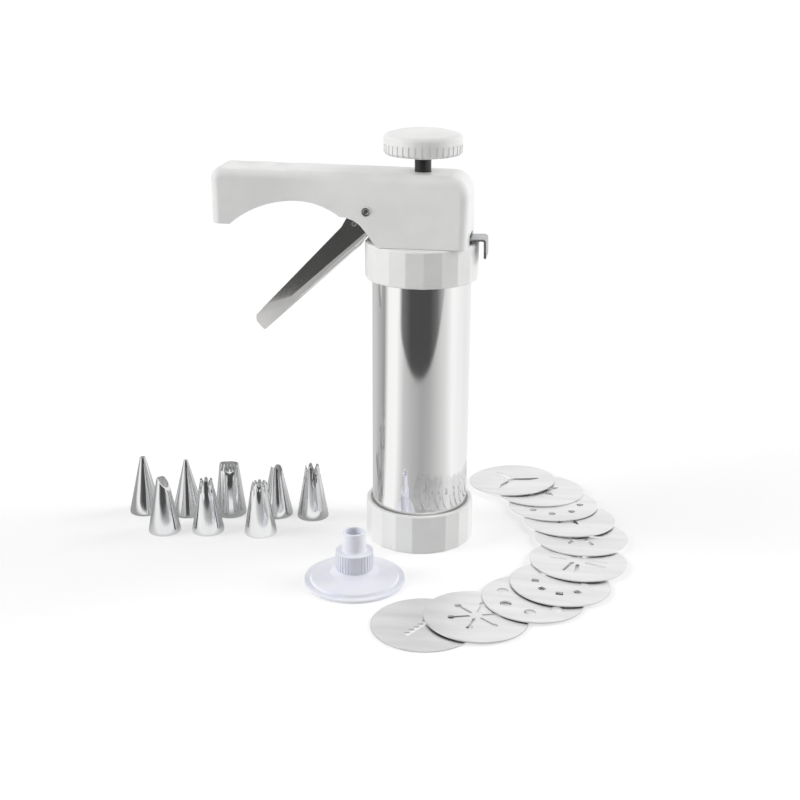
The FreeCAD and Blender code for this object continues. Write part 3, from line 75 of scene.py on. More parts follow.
def rounded(corners: Sequence[Corner], steps: int = 10) -> list[Point]:
    """Turn corners with radii into a closed line of points.

    Args:
        corners: (across, up, radius) of each corner, in millimetres.
        steps: how many flats stand for one rounded corner.

    Returns:
        The points of the line in order, each corner's arc tangent to its two sides.
    """
    points: list[Point] = []
    count = len(corners)
    for index, (across, up, radius) in enumerate(corners):
        here = Vector((across, up))
        if radius <= 0:
            points.append((across, up))
            continue
        back = (Vector(corners[index - 1][:2]) - here).normalized()
        onward = (Vector(corners[(index + 1) % count][:2]) - here).normalized()
        half = back.angle(onward) / 2
        centre = here + (back + onward).normalized() * (radius / math.sin(half))
        start = here + back * (radius / math.tan(half)) - centre
        end = here + onward * (radius / math.tan(half)) - centre
        sweep = start.angle_signed(end)
        for step in range(steps + 1):
            spoke = start.copy()
            spoke.rotate(Matrix.Rotation(-sweep * step / steps, 2))
            points.append(tuple(centre + spoke))
    return points


@dataclass(frozen=True)
class Sight:
    """A line of sight: an outline's two directions and the way it is drawn out."""

    across: Vector
    up: Vector
    through: Vector

    def spot(self, across: float, up: float) -> Vector:
        """A point of the outline in the frame, in metres."""
        return (self.across * across + self.up * up) * MM


SIDE = Sight(X, Z, Y)
PLAN = Sight(X, Y, Z)
FRONT = Sight(Y, Z, X)
CROSSWISE = Matrix.Rotation(math.pi / 2, 4, "X")


def moved(x: float, y: float, z: float) -> Matrix:
    """The move to a place given in millimetres."""
    return Matrix.Translation(Vector((x, y, z)) * MM)


# --- the work bench


class Carving(Enum):
    """What a tool does to the piece that it is brought to."""

    CUT = "DIFFERENCE"
    SHARE = "INTERSECT"
    JOIN = "UNION"


class Kind(Enum):
    """Which elements of a mesh are picked."""

    VERTS = "VERT"
    EDGES = "EDGE"
    FACES = "FACE"


class Bench:
    """The work bench: each method is one operation as it is done by hand."""

    TOUCHING = 2e-6

    @staticmethod
    def clear() -> None:
        """Go back to object mode with nothing selected."""
        if bpy.context.object and bpy.context.object.mode != "OBJECT":
            bpy.ops.object.mode_set(mode="OBJECT")
        bpy.ops.object.select_all(action="DESELECT")

    @staticmethod
    def take(piece: Piece) -> None:
        """Select one piece alone and make it the active one.

        Args:
            piece: the piece to work on next.
        """
        Bench.clear()
        piece.select_set(True)
        bpy.context.view_layer.objects.active = piece

    @staticmethod
    def named(name: str) -> Piece:
        """Name the primitive just added and put its place into its mesh.

        Args:
            name: the piece's name.

        Returns:
            The piece.
        """
        piece = bpy.context.object
        piece.name = name
        piece.data.name = name
        bpy.ops.object.transform_apply(location=True, rotation=True, scale=True)
        return piece

    @staticmethod
    def traced(name: str, spots: Sequence[Vector], closed: bool = True) -> Piece:
        """Draw a wire by pulling one vertex from spot to spot.

        Args:
            name: the piece's name.
            spots: the wire's points, in metres.
            closed: whether the wire comes back to its first point.

        Returns:
            The wire, left in edit mode with all of it selected.
        """
        Bench.clear()
        bpy.ops.mesh.primitive_plane_add(size=MM, location=spots[0])
        piece = Bench.named(name)
        bpy.ops.object.mode_set(mode="EDIT")
        bpy.ops.mesh.select_mode(type="VERT")
        bpy.ops.mesh.select_all(action="SELECT")
        bpy.ops.mesh.merge(type="CENTER")
        route = list(spots) + ([spots[0]] if closed else [])
        for here, there in zip(route[:-1], route[1:]):
            bpy.ops.mesh.extrude_region_move(TRANSFORM_OT_translate={"value": there - here})
        bpy.ops.mesh.select_all(action="SELECT")
        bpy.ops.mesh.remove_doubles(threshold=Bench.TOUCHING)
        return piece

    @staticmethod
    def turned(name: str, profile: Sequence[Point], steps: int, closed: bool = True) -> Piece:
        """Turn a profile about the upright axis, as on a lathe.

        Args:
            name: the piece's name.
            profile: (radius, height) of each point of the profile, in millimetres.
            steps: how many flats go round.
            closed: whether the profile is a closed line.

        Returns:
            The turned piece.
        """
        spots = [Vector((radius, 0, height)) * MM for radius, height in profile]
        piece = Bench.traced(name, spots, closed)
        bpy.ops.mesh.spin(steps=steps, angle=math.tau, center=(0, 0, 0), axis=Z)
        bpy.ops.mesh.select_all(action="SELECT")
        bpy.ops.mesh.remove_doubles(threshold=Bench.TOUCHING)
        bpy.ops.mesh.dissolve_degenerate(threshold=Bench.TOUCHING)
        bpy.ops.mesh.select_all(action="SELECT")
        bpy.ops.mesh.normals_make_consistent(inside=False)
        bpy.ops.object.mode_set(mode="OBJECT")
        return piece

    @staticmethod
    def drawn_out(name: str, outline: Sequence[Point], sight: Sight, start: float,
                  length: float) -> Piece:
        """Fill an outline and draw it out straight.

        Args:
            name: the piece's name.
            outline: the outline's points, in millimetres.
            sight: the directions of the outline and of the drawing out.
            start: where along that direction the outline is placed, in millimetres.
            length: how far it is drawn out, in millimetres.

        Returns:
            The solid prism.
        """
        offset = sight.through * (start * MM)
        spots = [sight.spot(*point) + offset for point in outline]
        piece = Bench.traced(name, spots)
        bpy.ops.mesh.edge_face_add()
        travel = sight.through * (length * MM)
        bpy.ops.mesh.extrude_region_move(TRANSFORM_OT_translate={"value": travel})
        bpy.ops.mesh.select_all(action="SELECT")
        bpy.ops.mesh.normals_make_consistent(inside=False)
        bpy.ops.object.mode_set(mode="OBJECT")
        return piece

    @staticmethod
    def block(name: str, low: Sequence[float], high: Sequence[float]) -> Piece:
        """A box for cutting with.

        Args:
            name: the piece's name.
            low: its lowest corner, in millimetres.
            high: its highest corner, in millimetres.

        Returns:
            The box.
        """
        low, high = Vector(low), Vector(high)
        Bench.clear()
        bpy.ops.mesh.primitive_cube_add(size=1, location=(low + high) / 2 * MM,
                                        scale=(high - low) * MM)
        return Bench.named(name)

    @staticmethod
    def bar(name: str, radius: float, spot: Sequence[float], length: float, axis: Vector,
            sides: int = 48) -> Piece:
        """A round bar for cutting with, or for joining to a piece.

        Args:
            name: the piece's name.
            radius: its radius, in millimetres.
            spot: its middle, in millimetres.
            length: its length, in millimetres.
            axis: the direction it lies in.
            sides: how many flats go round.

        Returns:
            The bar.
        """
        Bench.clear()
        turn = Z.rotation_difference(axis).to_euler()
        bpy.ops.mesh.primitive_cylinder_add(vertices=sides, radius=radius * MM,
                                            depth=length * MM, location=Vector(spot) * MM,
                                            rotation=turn)
        return Bench.named(name)

    @staticmethod
    def carve(piece: Piece, tools: Sequence[Piece], how: Carving) -> Piece:
        """Cut, join or share a piece with each tool in turn, and put the tools away.

        Args:
            piece: the piece to work on.
            tools: the pieces that are brought to it.
            how: what each of them does.

        Returns:
            The same piece.
        """
        for tool in tools:
            step = piece.modifiers.new(how.name, "BOOLEAN")
            step.operation = how.value
            step.solver = "EXACT"
            step.object = tool
            Bench.take(piece)
            bpy.ops.object.modifier_apply(modifier=step.name)
            bpy.data.objects.remove(tool)
        return piece

    @staticmethod
    def eased(piece: Piece, width: float, sharper: float = 40.0) -> Piece:
        """Break the sharp edges of a piece with two flats.

        Args:
            piece: the piece, in object mode.
            width: the width of the broken edge, in millimetres.
            sharper: edges that turn by more than this many degrees are broken.

        Returns:
            The same piece.
        """
        step = piece.modifiers.new("Ease", "BEVEL")
        step.width = width * MM
        step.segments = 2
        step.limit_method = "ANGLE"
        step.angle_limit = math.radians(sharper)
        Bench.take(piece)
        bpy.ops.object.modifier_apply(modifier=step.name)
        return piece

    @staticmethod
    def smoothed(piece: Piece, angle: float = 32.0) -> Piece:
        """Shade a piece smooth except at its edges, with its flats kept flat.

        Args:
            piece: the piece, in object mode.
            angle: an edge turns by more than this many degrees.

        Returns:
            The same piece.
        """
        Bench.take(piece)
        bpy.ops.object.shade_smooth_by_angle(angle=math.radians(angle))
        step = piece.modifiers.new("Flats", "WEIGHTED_NORMAL")
        step.keep_sharp = True
        step.weight = 90
        bpy.ops.object.modifier_apply(modifier=step.name)
        return piece

    @staticmethod
    def placed(piece: Piece, place: Matrix) -> Piece:
        """Turn and move a finished piece, and put its place into its mesh.

        Args:
            piece: the piece, made at the origin.
            place: the turn and the move.

        Returns:
            The same piece.
        """
        Bench.take(piece)
        piece.matrix_world = place
        bpy.ops.object.transform_apply(location=True, rotation=True, scale=True)
        return piece

    @staticmethod
    def copied(piece: Piece, name: str) -> Piece:
        """Copy a piece with its mesh.

        Args:
            piece: the piece to copy.
            name: the copy's name.

        Returns:
            The copy.
        """
        Bench.take(piece)
        bpy.ops.object.duplicate(linked=False)
        twin = bpy.context.object
        twin.name = name
        twin.data.name = name
        return twin

    @staticmethod
    def pick(piece: Piece, kind: Kind, wanted: Callable[[Element], bool]) -> None:
        """Select, in edit mode, the elements of a piece that pass a test.

        Args:
            piece: the piece, which is left in edit mode.
            kind: which elements are tested.
            wanted: the test of one element.
        """
        Bench.take(piece)
        bpy.ops.object.mode_set(mode="EDIT")
        bpy.ops.mesh.select_mode(type=kind.value)
        bpy.ops.mesh.select_all(action="DESELECT")
        mesh = bmesh.from_edit_mesh(piece.data)
        for element in getattr(mesh, kind.name.lower()):
            if wanted(element):
                element.select_set(True)
        bmesh.update_edit_mesh(piece.data)

    @staticmethod
    def groove(piece: Piece, ribs: int, band: Point, radius: float, depth: float) -> None:
        """Press a groove between each two ribs round a turned piece.

        Args:
            piece: the piece, turned with four flats to a rib.
            ribs: how many ribs go round.
            band: the heights between which the grooves run, in millimetres.
            radius: only faces outside this radius are pressed in, in millimetres.
            depth: the depth of the grooves, in millimetres.
        """
        pitch = math.tau / ribs
        low, high = band

        def in_a_groove(face: Element) -> bool:
            """Whether a face of the rim lies between two ribs."""
            middle = face.calc_center_median() / MM
            column = math.atan2(middle.y, middle.x) % pitch < pitch / 2
            return column and low < middle.z < high and middle.xy.length > radius

        Bench.pick(piece, Kind.FACES, in_a_groove)
        bpy.ops.mesh.extrude_region_shrink_fatten(
            TRANSFORM_OT_shrink_fatten={"value": -depth * MM})
        bpy.ops.object.mode_set(mode="OBJECT")

    @staticmethod
    def dressed(piece: Piece, finish: "Finish", body: str, nodes: Sequence[str],
                slot: str) -> Piece:
        """Give a finished piece its surface and its place in the frame.

        Args:
            piece: the finished piece.
            finish: its surface.
            body: the body of the frame that it moves with.
            nodes: the nodes of the frame that it stands for.
            slot: the name of a material slot; it is not used.

        Returns:
            The same piece.
        """
        Bench.clear()
        piece.data.materials.clear()
        piece.data.materials.append(finish.material())
        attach(piece, body)
        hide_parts(*nodes)
        log.info("%s stands for %s: %d faces", piece.name, ", ".join(nodes),
                 len(piece.data.polygons))
        return piece


# --- finishes


def linear(code: str) -> tuple[float, float, float, float]:
    """Turn an sRGB hex colour into the linear colour that the shaders take.

    Args:
        code: the colour's six hex digits.

    Returns:
        Red, green, blue and an opacity of one.
    """
    channels = [int(code[index:index + 2], 16) / 255 for index in (0, 2, 4)]
    curve = [c / 12.92 if c <= 0.04045 else ((c + 0.055) / 1.055) ** 2.4 for c in channels]
    return (*curve, 1.0)


def empty_tree(owner: bpy.types.Material | bpy.types.World) -> bpy.types.NodeTree:
    """Turn on a material's or a world's nodes and clear them away.

    Args:
        owner: the material or the world.

    Returns:
        Its empty node tree.
    """
    owner.use_nodes = True
    owner.node_tree.nodes.clear()
    return owner.node_tree


def add_node(tree: bpy.types.NodeTree, kind: str, settings: dict | None = None,
             values: dict | None = None, links: dict | None = None) -> bpy.types.Node:
    """Add one node to a material.

    Args:
        tree: the material's node tree.
        kind: the node's type.
        settings: the node's own properties.
        values: what its unlinked inputs hold.
        links: the outputs that its inputs take.

    Returns:
        The node.
    """
    node = tree.nodes.new(kind)
    for name, value in (settings or {}).items():
        setattr(node, name, value)
    for name, value in (values or {}).items():
        node.inputs[name].default_value = value
    for name, output in (links or {}).items():
        tree.links.new(output, node.inputs[name])
    return node


@dataclass(frozen=True)
class Finish:
    """A surface: its two tones, its gloss, and the pattern that varies them.

    The pattern is a noise whose grain is given in millimetres. It shifts the colour between
    the two tones, the roughness between its two ends, and raises a fine relief.
    """

    # A cloud of one tone is this many grains wide.
    CLOUD = 14
    TONES_AT = (0.35, 0.7)
    COAT_GLOSS = 0.08

    name: str
    colour: str
    second: str
    roughness: tuple[float, float]
    grain: float
    relief: float = 0.0
    metallic: float = 0.0
    ior: float = 1.5
    stretch: tuple[float, float, float] = (1.0, 1.0, 1.0)
    transmission: float = 0.0
    subsurface: float = 0.0
    coat: float = 0.0

    def material(self) -> bpy.types.Material:
        """The finish as a material, made once and then shared."""
        made = bpy.data.materials.get(self.name)
        return made or self.mixed()

    def mixed(self) -> bpy.types.Material:
        """Make the material with its nodes."""
        material = bpy.data.materials.new(self.name)
        tree = empty_tree(material)
        place = add_node(tree, "ShaderNodeTexCoord")
        grain = add_node(tree, "ShaderNodeMapping", values={"Scale": self.stretch},
                         links={"Vector": place.outputs["Object"]})
        noise = add_node(tree, "ShaderNodeTexNoise",
                         values={"Scale": 1 / (self.grain * MM), "Detail": 3.0},
                         links={"Vector": grain.outputs["Vector"]})
        cloud = add_node(tree, "ShaderNodeTexNoise",
                         values={"Scale": 1 / (self.grain * self.CLOUD * MM), "Detail": 2.0},
                         links={"Vector": grain.outputs["Vector"]})
        tones = add_node(tree, "ShaderNodeValToRGB", links={"Fac": cloud.outputs["Fac"]})
        for element, code, spot in zip(tones.color_ramp.elements,
                                       (self.colour, self.second), self.TONES_AT):
            element.color = linear(code)
            element.position = spot
        low, high = self.roughness
        gloss = add_node(tree, "ShaderNodeMapRange",
                         values={"From Min": 0.3, "From Max": 0.7, "To Min": low,
                                 "To Max": high},
                         links={"Value": noise.outputs["Fac"]})
        values = {"Metallic": self.metallic, "Transmission Weight": self.transmission,
                  "Subsurface Weight": self.subsurface, "Coat Weight": self.coat,
                  "Coat Roughness": self.COAT_GLOSS}
        if self.metallic == 0:
            values["IOR"] = self.ior
        links = {"Base Color": tones.outputs["Color"], "Roughness": gloss.outputs["Result"]}
        if self.relief:
            bump = add_node(tree, "ShaderNodeBump",
                            values={"Strength": 0.5, "Distance": self.relief * MM},
                            links={"Height": noise.outputs["Fac"]})
            links["Normal"] = bump.outputs["Normal"]
        shader = add_node(tree, "ShaderNodeBsdfPrincipled", values=values, links=links)
        add_node(tree, "ShaderNodeOutputMaterial", links={"Surface": shader.outputs["BSDF"]})
        return material


# Lines, waves and grain are drawn coarser than the real ones are, so that they show.

# Stainless tube, drawn and then mirror polished: sharp reflections with fine lines that
# run down the tube.
POLISHED_TUBE = Finish("mirror_polished_stainless_tube", "F0F0EF", "EAEAEA", (0.05, 0.09),
                       0.5, 0.0006, 1.0, stretch=(1.0, 1.0, 0.05))

# Pressed and nickel plated steel: bright, a little softer than the tube, with the faint
# waves that the press leaves.
PLATED_STEEL = Finish("nickel_plated_pressed_steel", "E2E1DF", "D6D5D3", (0.10, 0.16), 1.2,
                      0.0012, 1.0)

# Stainless sheet, deep drawn and tumbled: bright, with soft-edged reflections.
DRAWN_SHEET = Finish("tumbled_stainless_sheet", "EAEAEA", "DDDEDF", (0.05, 0.10), 0.8,
                     0.002, 1.0, stretch=(1.0, 1.0, 0.25))

# Stainless blanks, punched from rolled sheet: satin, with the rolling lines all one way.
ROLLED_SHEET = Finish("rolled_satin_stainless_sheet", "F2F2F2", "E6E6E6", (0.30, 0.42), 0.5,
                      0.003, 1.0, stretch=(0.12, 1.0, 1.0))

# Zinc plated steel of the springs, plates and screws: grey with a dull gloss.
ZINC_PLATE = Finish("zinc_plated_steel", "BDBFC0", "A9ABAD", (0.30, 0.45), 0.6, 0.004, 1.0)

# Steel rod with a black oxide skin, oiled: nearly black with a low even gloss.
BLACK_OXIDE = Finish("black_oxide_steel_rod", "1E1E20", "29292B", (0.32, 0.45), 0.7, 0.003,
                     0.0, 1.6, stretch=(1.0, 1.0, 0.2))

# White ABS, injection moulded in a polished tool: clean white with a soft broad gloss and
# a surface that is never quite even.
WHITE_ABS = Finish("moulded_white_abs", "EFEFEE", "EAEAE9", (0.30, 0.38), 0.9, 0.004, 0.0,
                   1.53, coat=0.12)

# Natural acetal, moulded: milky and slightly warm, with a waxy gloss.
NATURAL_ACETAL = Finish("moulded_natural_acetal", "E6E3DA", "DDD9CF", (0.35, 0.45), 1.0,
                        0.004, 0.0, 1.48, subsurface=0.1)

# Nitrile rubber, moulded: matt and almost black.
SEAL_RUBBER = Finish("moulded_nitrile_rubber", "202021", "2A2A2B", (0.6, 0.75), 0.4, 0.01,
                     0.0, 1.52)

# Frosted polypropylene, moulded thin: cool and cloudy, light comes through it.
FROSTED_PP = Finish("moulded_frosted_polypropylene", "F8F9FF", "F2F3FF", (0.28, 0.38), 0.8,
                    0.004, 0.0, 1.49, transmission=0.12)


# --- tube and screw rings


@dataclass
class Barrel:
    """The steel tube and the two faceted rings that are screwed on its ends."""

    tube_radius: float = 25.0
    tube_wall: float = 0.6
    tube_bottom: float = 3.2
    tube_top: float = 153.8
    facets: int = 20
    across_flats: float = 56.4
    ring_edge: float = 1.0
    facet_edge: float = 0.35
    bore_radius: float = 25.08
    bore_edge: float = 0.3
    mouth_radius: float = 25.8
    mouth_depth: float = 1.5
    mouth_step: float = 0.2
    mouth_edge: Point = (0.4, 0.3)
    outlet_radius: float = 21.0
    outlet_lip: float = 3.0
    bottom_height: float = 21.0
    top_foot: float = 141.4
    top_lip: float = 157.15
    top_height: float = 160.0
    neck_clear: float = 22.1

    def build(self) -> None:
        """Make the tube and both rings."""
        self.tube()
        self.bottom_ring()
        self.top_ring()

    def tube(self) -> Piece:
        """The tube, its two cut edges lightly broken."""
        inner = self.tube_radius - self.tube_wall
        edge = self.tube_wall / 4
        piece = Bench.turned("barrel_tube_polished", [
            (inner, self.tube_bottom + edge),
            (inner + edge, self.tube_bottom),
            (self.tube_radius - edge, self.tube_bottom),
            (self.tube_radius, self.tube_bottom + edge),
            (self.tube_radius, self.tube_top - edge),
            (self.tube_radius - edge, self.tube_top),
            (inner + edge, self.tube_top),
            (inner, self.tube_top - edge),
        ], 160)
        Bench.smoothed(piece)
        return Bench.dressed(piece, POLISHED_TUBE, "frame", ["barrel_tube"],
                             "polished_steel")

    def ring_blank(self, name: str, bottom: float, top: float, turn: float) -> Piece:
        """A faceted ring before it is bored.

        Args:
            name: the piece's name.
            bottom: height of its lower face, in millimetres.
            top: height of its upper face, in millimetres.
            turn: how far its facets are turned, in degrees.

        Returns:
            The blank with its edges broken.
        """
        Bench.clear()
        corner = self.across_flats / 2 / math.cos(math.pi / self.facets)
        bpy.ops.mesh.primitive_cylinder_add(vertices=self.facets, radius=corner * MM,
                                            depth=(top - bottom) * MM,
                                            location=(0, 0, (top + bottom) / 2 * MM),
                                            rotation=(0, 0, math.radians(turn)))
        blank = Bench.named(name)

        def climbs(edge: Element) -> bool:
            """Whether an edge is one of the upright ones between two facets."""
            first, last = edge.verts
            return abs(first.co.z - last.co.z) > (top - bottom) / 2 * MM

        Bench.pick(blank, Kind.EDGES, lambda edge: not climbs(edge))
        bpy.ops.mesh.bevel(offset=self.ring_edge * MM, segments=3, profile=0.5)
        Bench.pick(blank, Kind.EDGES, climbs)
        bpy.ops.mesh.bevel(offset=self.facet_edge * MM, segments=2, profile=0.5)
        bpy.ops.object.mode_set(mode="OBJECT")
        return blank

    def bored(self, ring: Piece, node: str, profile: Sequence[Point]) -> Piece:
        """Bore a ring's blank and dress it.

        Args:
            ring: the blank.
            node: the node that the ring stands for, and the body that it moves with.
            profile: (radius, height) of each point of the bore, in millimetres.

        Returns:
            The finished ring.
        """
        Bench.carve(ring, [Bench.turned("Bore", profile, 120)], Carving.CUT)
        Bench.smoothed(ring, 12)
        return Bench.dressed(ring, WHITE_ABS, node, [node], "white_plastic")

    def bottom_ring(self) -> Piece:
        """The bottom ring: its inner lip carries a disc or the adaptor."""
        lip, top = self.outlet_lip, self.bottom_height
        mouth, floor = self.mouth_radius, top - self.mouth_depth
        across, down = self.mouth_edge
        return self.bored(self.ring_blank("bottom_ring_moulded", 0, top, 0), "bottom_ring", [
            (0, -PAST), (self.outlet_radius, -PAST), (self.outlet_radius, lip),
            (self.bore_radius, lip), (self.bore_radius, floor),
            (mouth, floor + self.mouth_step), (mouth, top - down), (mouth + across, top),
            (mouth + across, top + PAST), (0, top + PAST),
        ])

    def top_ring(self) -> Piece:
        """The top ring: its lip hangs on the plate under the head."""
        foot, lip, top = self.top_foot, self.top_lip, self.top_height
        bore, edge = self.bore_radius, self.bore_edge
        half_facet = 180 / self.facets
        return self.bored(self.ring_blank("top_ring_moulded", foot, top, half_facet),
                          "top_ring", [
            (0, foot - PAST), (bore + edge, foot - PAST), (bore + edge, foot),
            (bore, foot + edge), (bore, lip), (self.neck_clear, lip),
            (self.neck_clear, top + PAST), (0, top + PAST),
        ])


# --- head moulding


@dataclass
class Head:
    """The white moulding: head, pistol grip and neck, with the pin through its cheeks."""

    wall: float = 2.2
    foot: float = 160.15
    foot_top: float = 163.35
    top: float = 193.95
    slope: float = 1.6 / 128.9
    rear: float = 24.4
    reach: float = 104.3
    foot_half: float = 22.5
    top_half: float = 14.92
    grip_half: float = 14.5
    flare: Point = (-68.0, -22.5)
    flare_cuts: int = 20
    skirt: float = 15.0
    edge: float = 4.6
    rear_round: float = 10.0
    tip_round: float = 5.8
    lip_height: float = 167.67
    crown_x: float = -60.5
    crown_z: float = 180.3
    crown_radii: Point = (53.0, 40.0)
    crown_end: float = -38.5
    cheek: tuple[Point, ...] = ((-35.2, 173.6), (-31.0, 172.2), (-28.0, 170.2),
                                (-25.0, 167.0))
    cheek_end: float = -19.5
    ripples_at: Point = (-90.3, -69.4)
    ripple_radius: float = 70.0
    ripple_depth: float = 0.6
    neck_radius: float = 21.8
    neck_middle: float = 160.3
    neck_height: float = 6.6
    boss_radius: float = 4.6
    boss_length: float = 35.2
    room: float = 9.2
    room_half: float = 8.8
    mouth: Point = (-28.4, -13.4)
    mouth_half: float = 9.1
    rod_hole: float = 4.4
    channel_start: float = -12.8
    channel_half: float = 8.0
    channel_top: float = 164.35
    undercut: Point = (-15.5, -12.3)
    undercut_top: float = 161.95

    def build(self) -> None:
        """Make the moulding and its pin."""
        self.housing()
        self.pivot_pin()

    def top_at(self, x: float) -> float:
        """Height of the top line at a place along the head."""
        return self.top + self.slope * (self.rear - x)

    def half_at(self, x: float, z: float) -> float:
        """Half the width: a straight grip that flares into cheeks that lean in.

        Args:
            x: the place along the head, in millimetres.
            z: the height, in millimetres.

        Returns:
            Half the width there, in millimetres.
        """
        lean = (self.foot_half - self.top_half) / (self.top - self.foot)
        cheek = self.foot_half - lean * (z - self.foot)
        start, end = self.flare
        share = min(max((x - start) / (end - start), 0.0), 1.0)
        share *= share * (3 - 2 * share)
        return self.grip_half + (cheek - self.grip_half) * share

    def side(self, inset: float, floor: float) -> list[Corner]:
        """The head from the side without its arch, or the hollow inside it.

        Args:
            inset: how far inside the outer surface the line lies, in millimetres.
            floor: the height of its lower side, in millimetres.

        Returns:
            The outline's corners.
        """
        tip = inset - self.reach
        rear = self.rear - inset
        return [(tip, floor, 0), (rear, floor, 0),
                (rear, self.top_at(rear) - inset, self.rear_round - inset),
                (tip, self.top_at(tip) - inset, self.tip_round - inset)]

    def body(self, name: str, inset: float, floor: float) -> Piece:
        """The moulding's outside, or its hollow, before anything is cut from it.

        A slab is drawn out from the side outline with a skirt below its floor, its rim is
        rounded, the skirt is cut off again so that the floor's edge stays sharp, and each
        cheek is then pushed out to the width it has at that place.

        Args:
            name: the piece's name.
            inset: how far inside the outer surface it lies, in millimetres.
            floor: the height of its flat underside, in millimetres.

        Returns:
            The closed form.
        """
        slab = self.grip_half
        outline = rounded(self.side(inset, floor - self.skirt), 12)
        form = Bench.drawn_out(name, outline, SIDE, -slab, slab * 2)

        def on_the_rim(edge: Element) -> bool:
            """Whether an edge lies between a cheek and the side outline's wall."""
            left, right = (abs(face.normal.y) for face in edge.link_faces)
            return abs(left - right) > 0.9

        Bench.pick(form, Kind.EDGES, on_the_rim)
        bpy.ops.mesh.bevel(offset=(self.edge - inset) * MM, segments=7, profile=0.5,
                           clamp_overlap=False)
        start, end = self.flare
        for step in range(self.flare_cuts + 1):
            x = start + (end - start) * step / self.flare_cuts
            bpy.ops.mesh.select_all(action="SELECT")
            bpy.ops.mesh.bisect(plane_co=X * x * MM, plane_no=X)
        bpy.ops.mesh.select_all(action="SELECT")
        bpy.ops.mesh.bisect(plane_co=Z * floor * MM, plane_no=Z, use_fill=True,
                            clear_inner=True)
        mesh = bmesh.from_edit_mesh(form.data)
        for vertex in mesh.verts:
            spot = vertex.co / MM
            push = self.half_at(spot.x, spot.z) - inset - slab
            vertex.co.y += push * math.copysign(MM, spot.y)
        bmesh.update_edit_mesh(form.data)
        bpy.ops.mesh.select_all(action="SELECT")
        bpy.ops.mesh.normals_make_consistent(inside=False)
        bpy.ops.object.mode_set(mode="OBJECT")
        return form

    def arch(self) -> Piece:
        """The tool for the finger arch under the grip and the slanted cheek."""
        front, rear = self.crown_radii
        drop = self.crown_z - self.lip_height
        lip = self.crown_x - math.sqrt(front ** 2 - (front - drop) ** 2)
        low, past, flats = self.foot - 12, -self.reach - 3, 16
        outline = [(self.cheek_end, self.foot), (self.cheek_end, low), (past, low),
                   (past, self.lip_height)]
        for start, end, radius in ((lip, self.crown_x, front),
                                   (self.crown_x, self.crown_end, rear)):
            for step in range(flats + 1):
                x = start + (end - start) * step / flats
                rise = math.sqrt(radius ** 2 - (x - self.crown_x) ** 2)
                spot = (x, self.crown_z - radius + rise)
                if spot != outline[-1]:
                    outline.append(spot)
        return Bench.drawn_out("Arch", outline + list(self.cheek), SIDE, -60, 120)

    def ripples(self) -> list[Piece]:
        """The tools for the two shallow finger hollows on top of the grip."""
        tools = []
        for x in self.ripples_at:
            centre = self.top_at(x) - self.ripple_depth + self.ripple_radius
            tools.append(Bench.bar("Ripple", self.ripple_radius, (x, 0, centre), 80, Y, 300))
        return tools

    def openings(self) -> list[Piece]:
        """The tools for the lever's room and mouth, the holes and the plate's channel."""
        x, z = PIVOT_X, PIVOT_Z
        room, room_half, mouth_half = self.room, self.room_half, self.mouth_half
        start, end = self.mouth
        front, rear = self.undercut
        half = self.channel_half
        return [
            Bench.block("LeverRoom", (x - room, -room_half, z - room),
                        (x + room, room_half, z + room)),
            Bench.block("LeverMouth", (start, -mouth_half, 158), (end, mouth_half, 165.5)),
            Bench.bar("PinHole", PIN_HOLE, (x, 0, z), 90, Y),
            Bench.bar("RodHole", self.rod_hole, (0, 0, 190), 80, Z),
            Bench.block("Channel", (self.channel_start, -half, self.foot),
                        (60, half, self.channel_top)),
            Bench.block("Undercut", (front, -half, self.foot - 0.05),
                        (rear, half, self.undercut_top)),
        ]

    def housing(self) -> Piece:
        """The whole moulding with its openings."""
        form = self.body("head_housing_moulded", 0, self.foot)
        Bench.carve(form, [self.body("Hollow", self.wall, self.foot_top)], Carving.CUT)
        neck = Bench.bar("Neck", self.neck_radius, (0, 0, self.neck_middle),
                         self.neck_height, Z, 96)
        boss = Bench.bar("Boss", self.boss_radius, (PIVOT_X, 0, PIVOT_Z), self.boss_length, Y)
        Bench.carve(form, [neck, boss], Carving.JOIN)
        Bench.carve(form, [self.arch()] + self.openings() + self.ripples(), Carving.CUT)
        Bench.eased(form, 0.35, 42)
        Bench.smoothed(form, 35)
        return Bench.dressed(form, WHITE_ABS, "frame", ["head_housing"], "white_plastic")

    def pivot_pin(self) -> Piece:
        """The riveted pin: its ends are proud of the cheeks and dished."""
        pin = riveted_pin("pivot_pin_riveted", 2.4, 38.57)
        Bench.placed(pin, moved(PIVOT_X, 0, PIVOT_Z) @ CROSSWISE)
        return Bench.dressed(pin, PLATED_STEEL, "frame", ["pivot_pin"], "polished_steel")


def riveted_pin(name: str, radius: float, length: float) -> Piece:
    """An upright pin about its middle with a dished, chamfered end at top and bottom.

    Args:
        name: the piece's name.
        radius: the pin's radius, in millimetres.
        length: its length, in millimetres.

    Returns:
        The pin.
    """
    half = length / 2
    chamfer = radius * 0.16
    dish = radius * 0.30
    cup, brim = radius * 0.45, radius * 0.62
    pin = Bench.turned(name, [
        (0, dish - half), (cup, dish - half), (brim, -half),
        (radius - chamfer, -half), (radius, chamfer - half), (radius, half - chamfer),
        (radius - chamfer, half), (brim, half), (cup, half - dish),
        (0, half - dish),
    ], 48, closed=False)
    return Bench.smoothed(pin)


# --- rod and knob


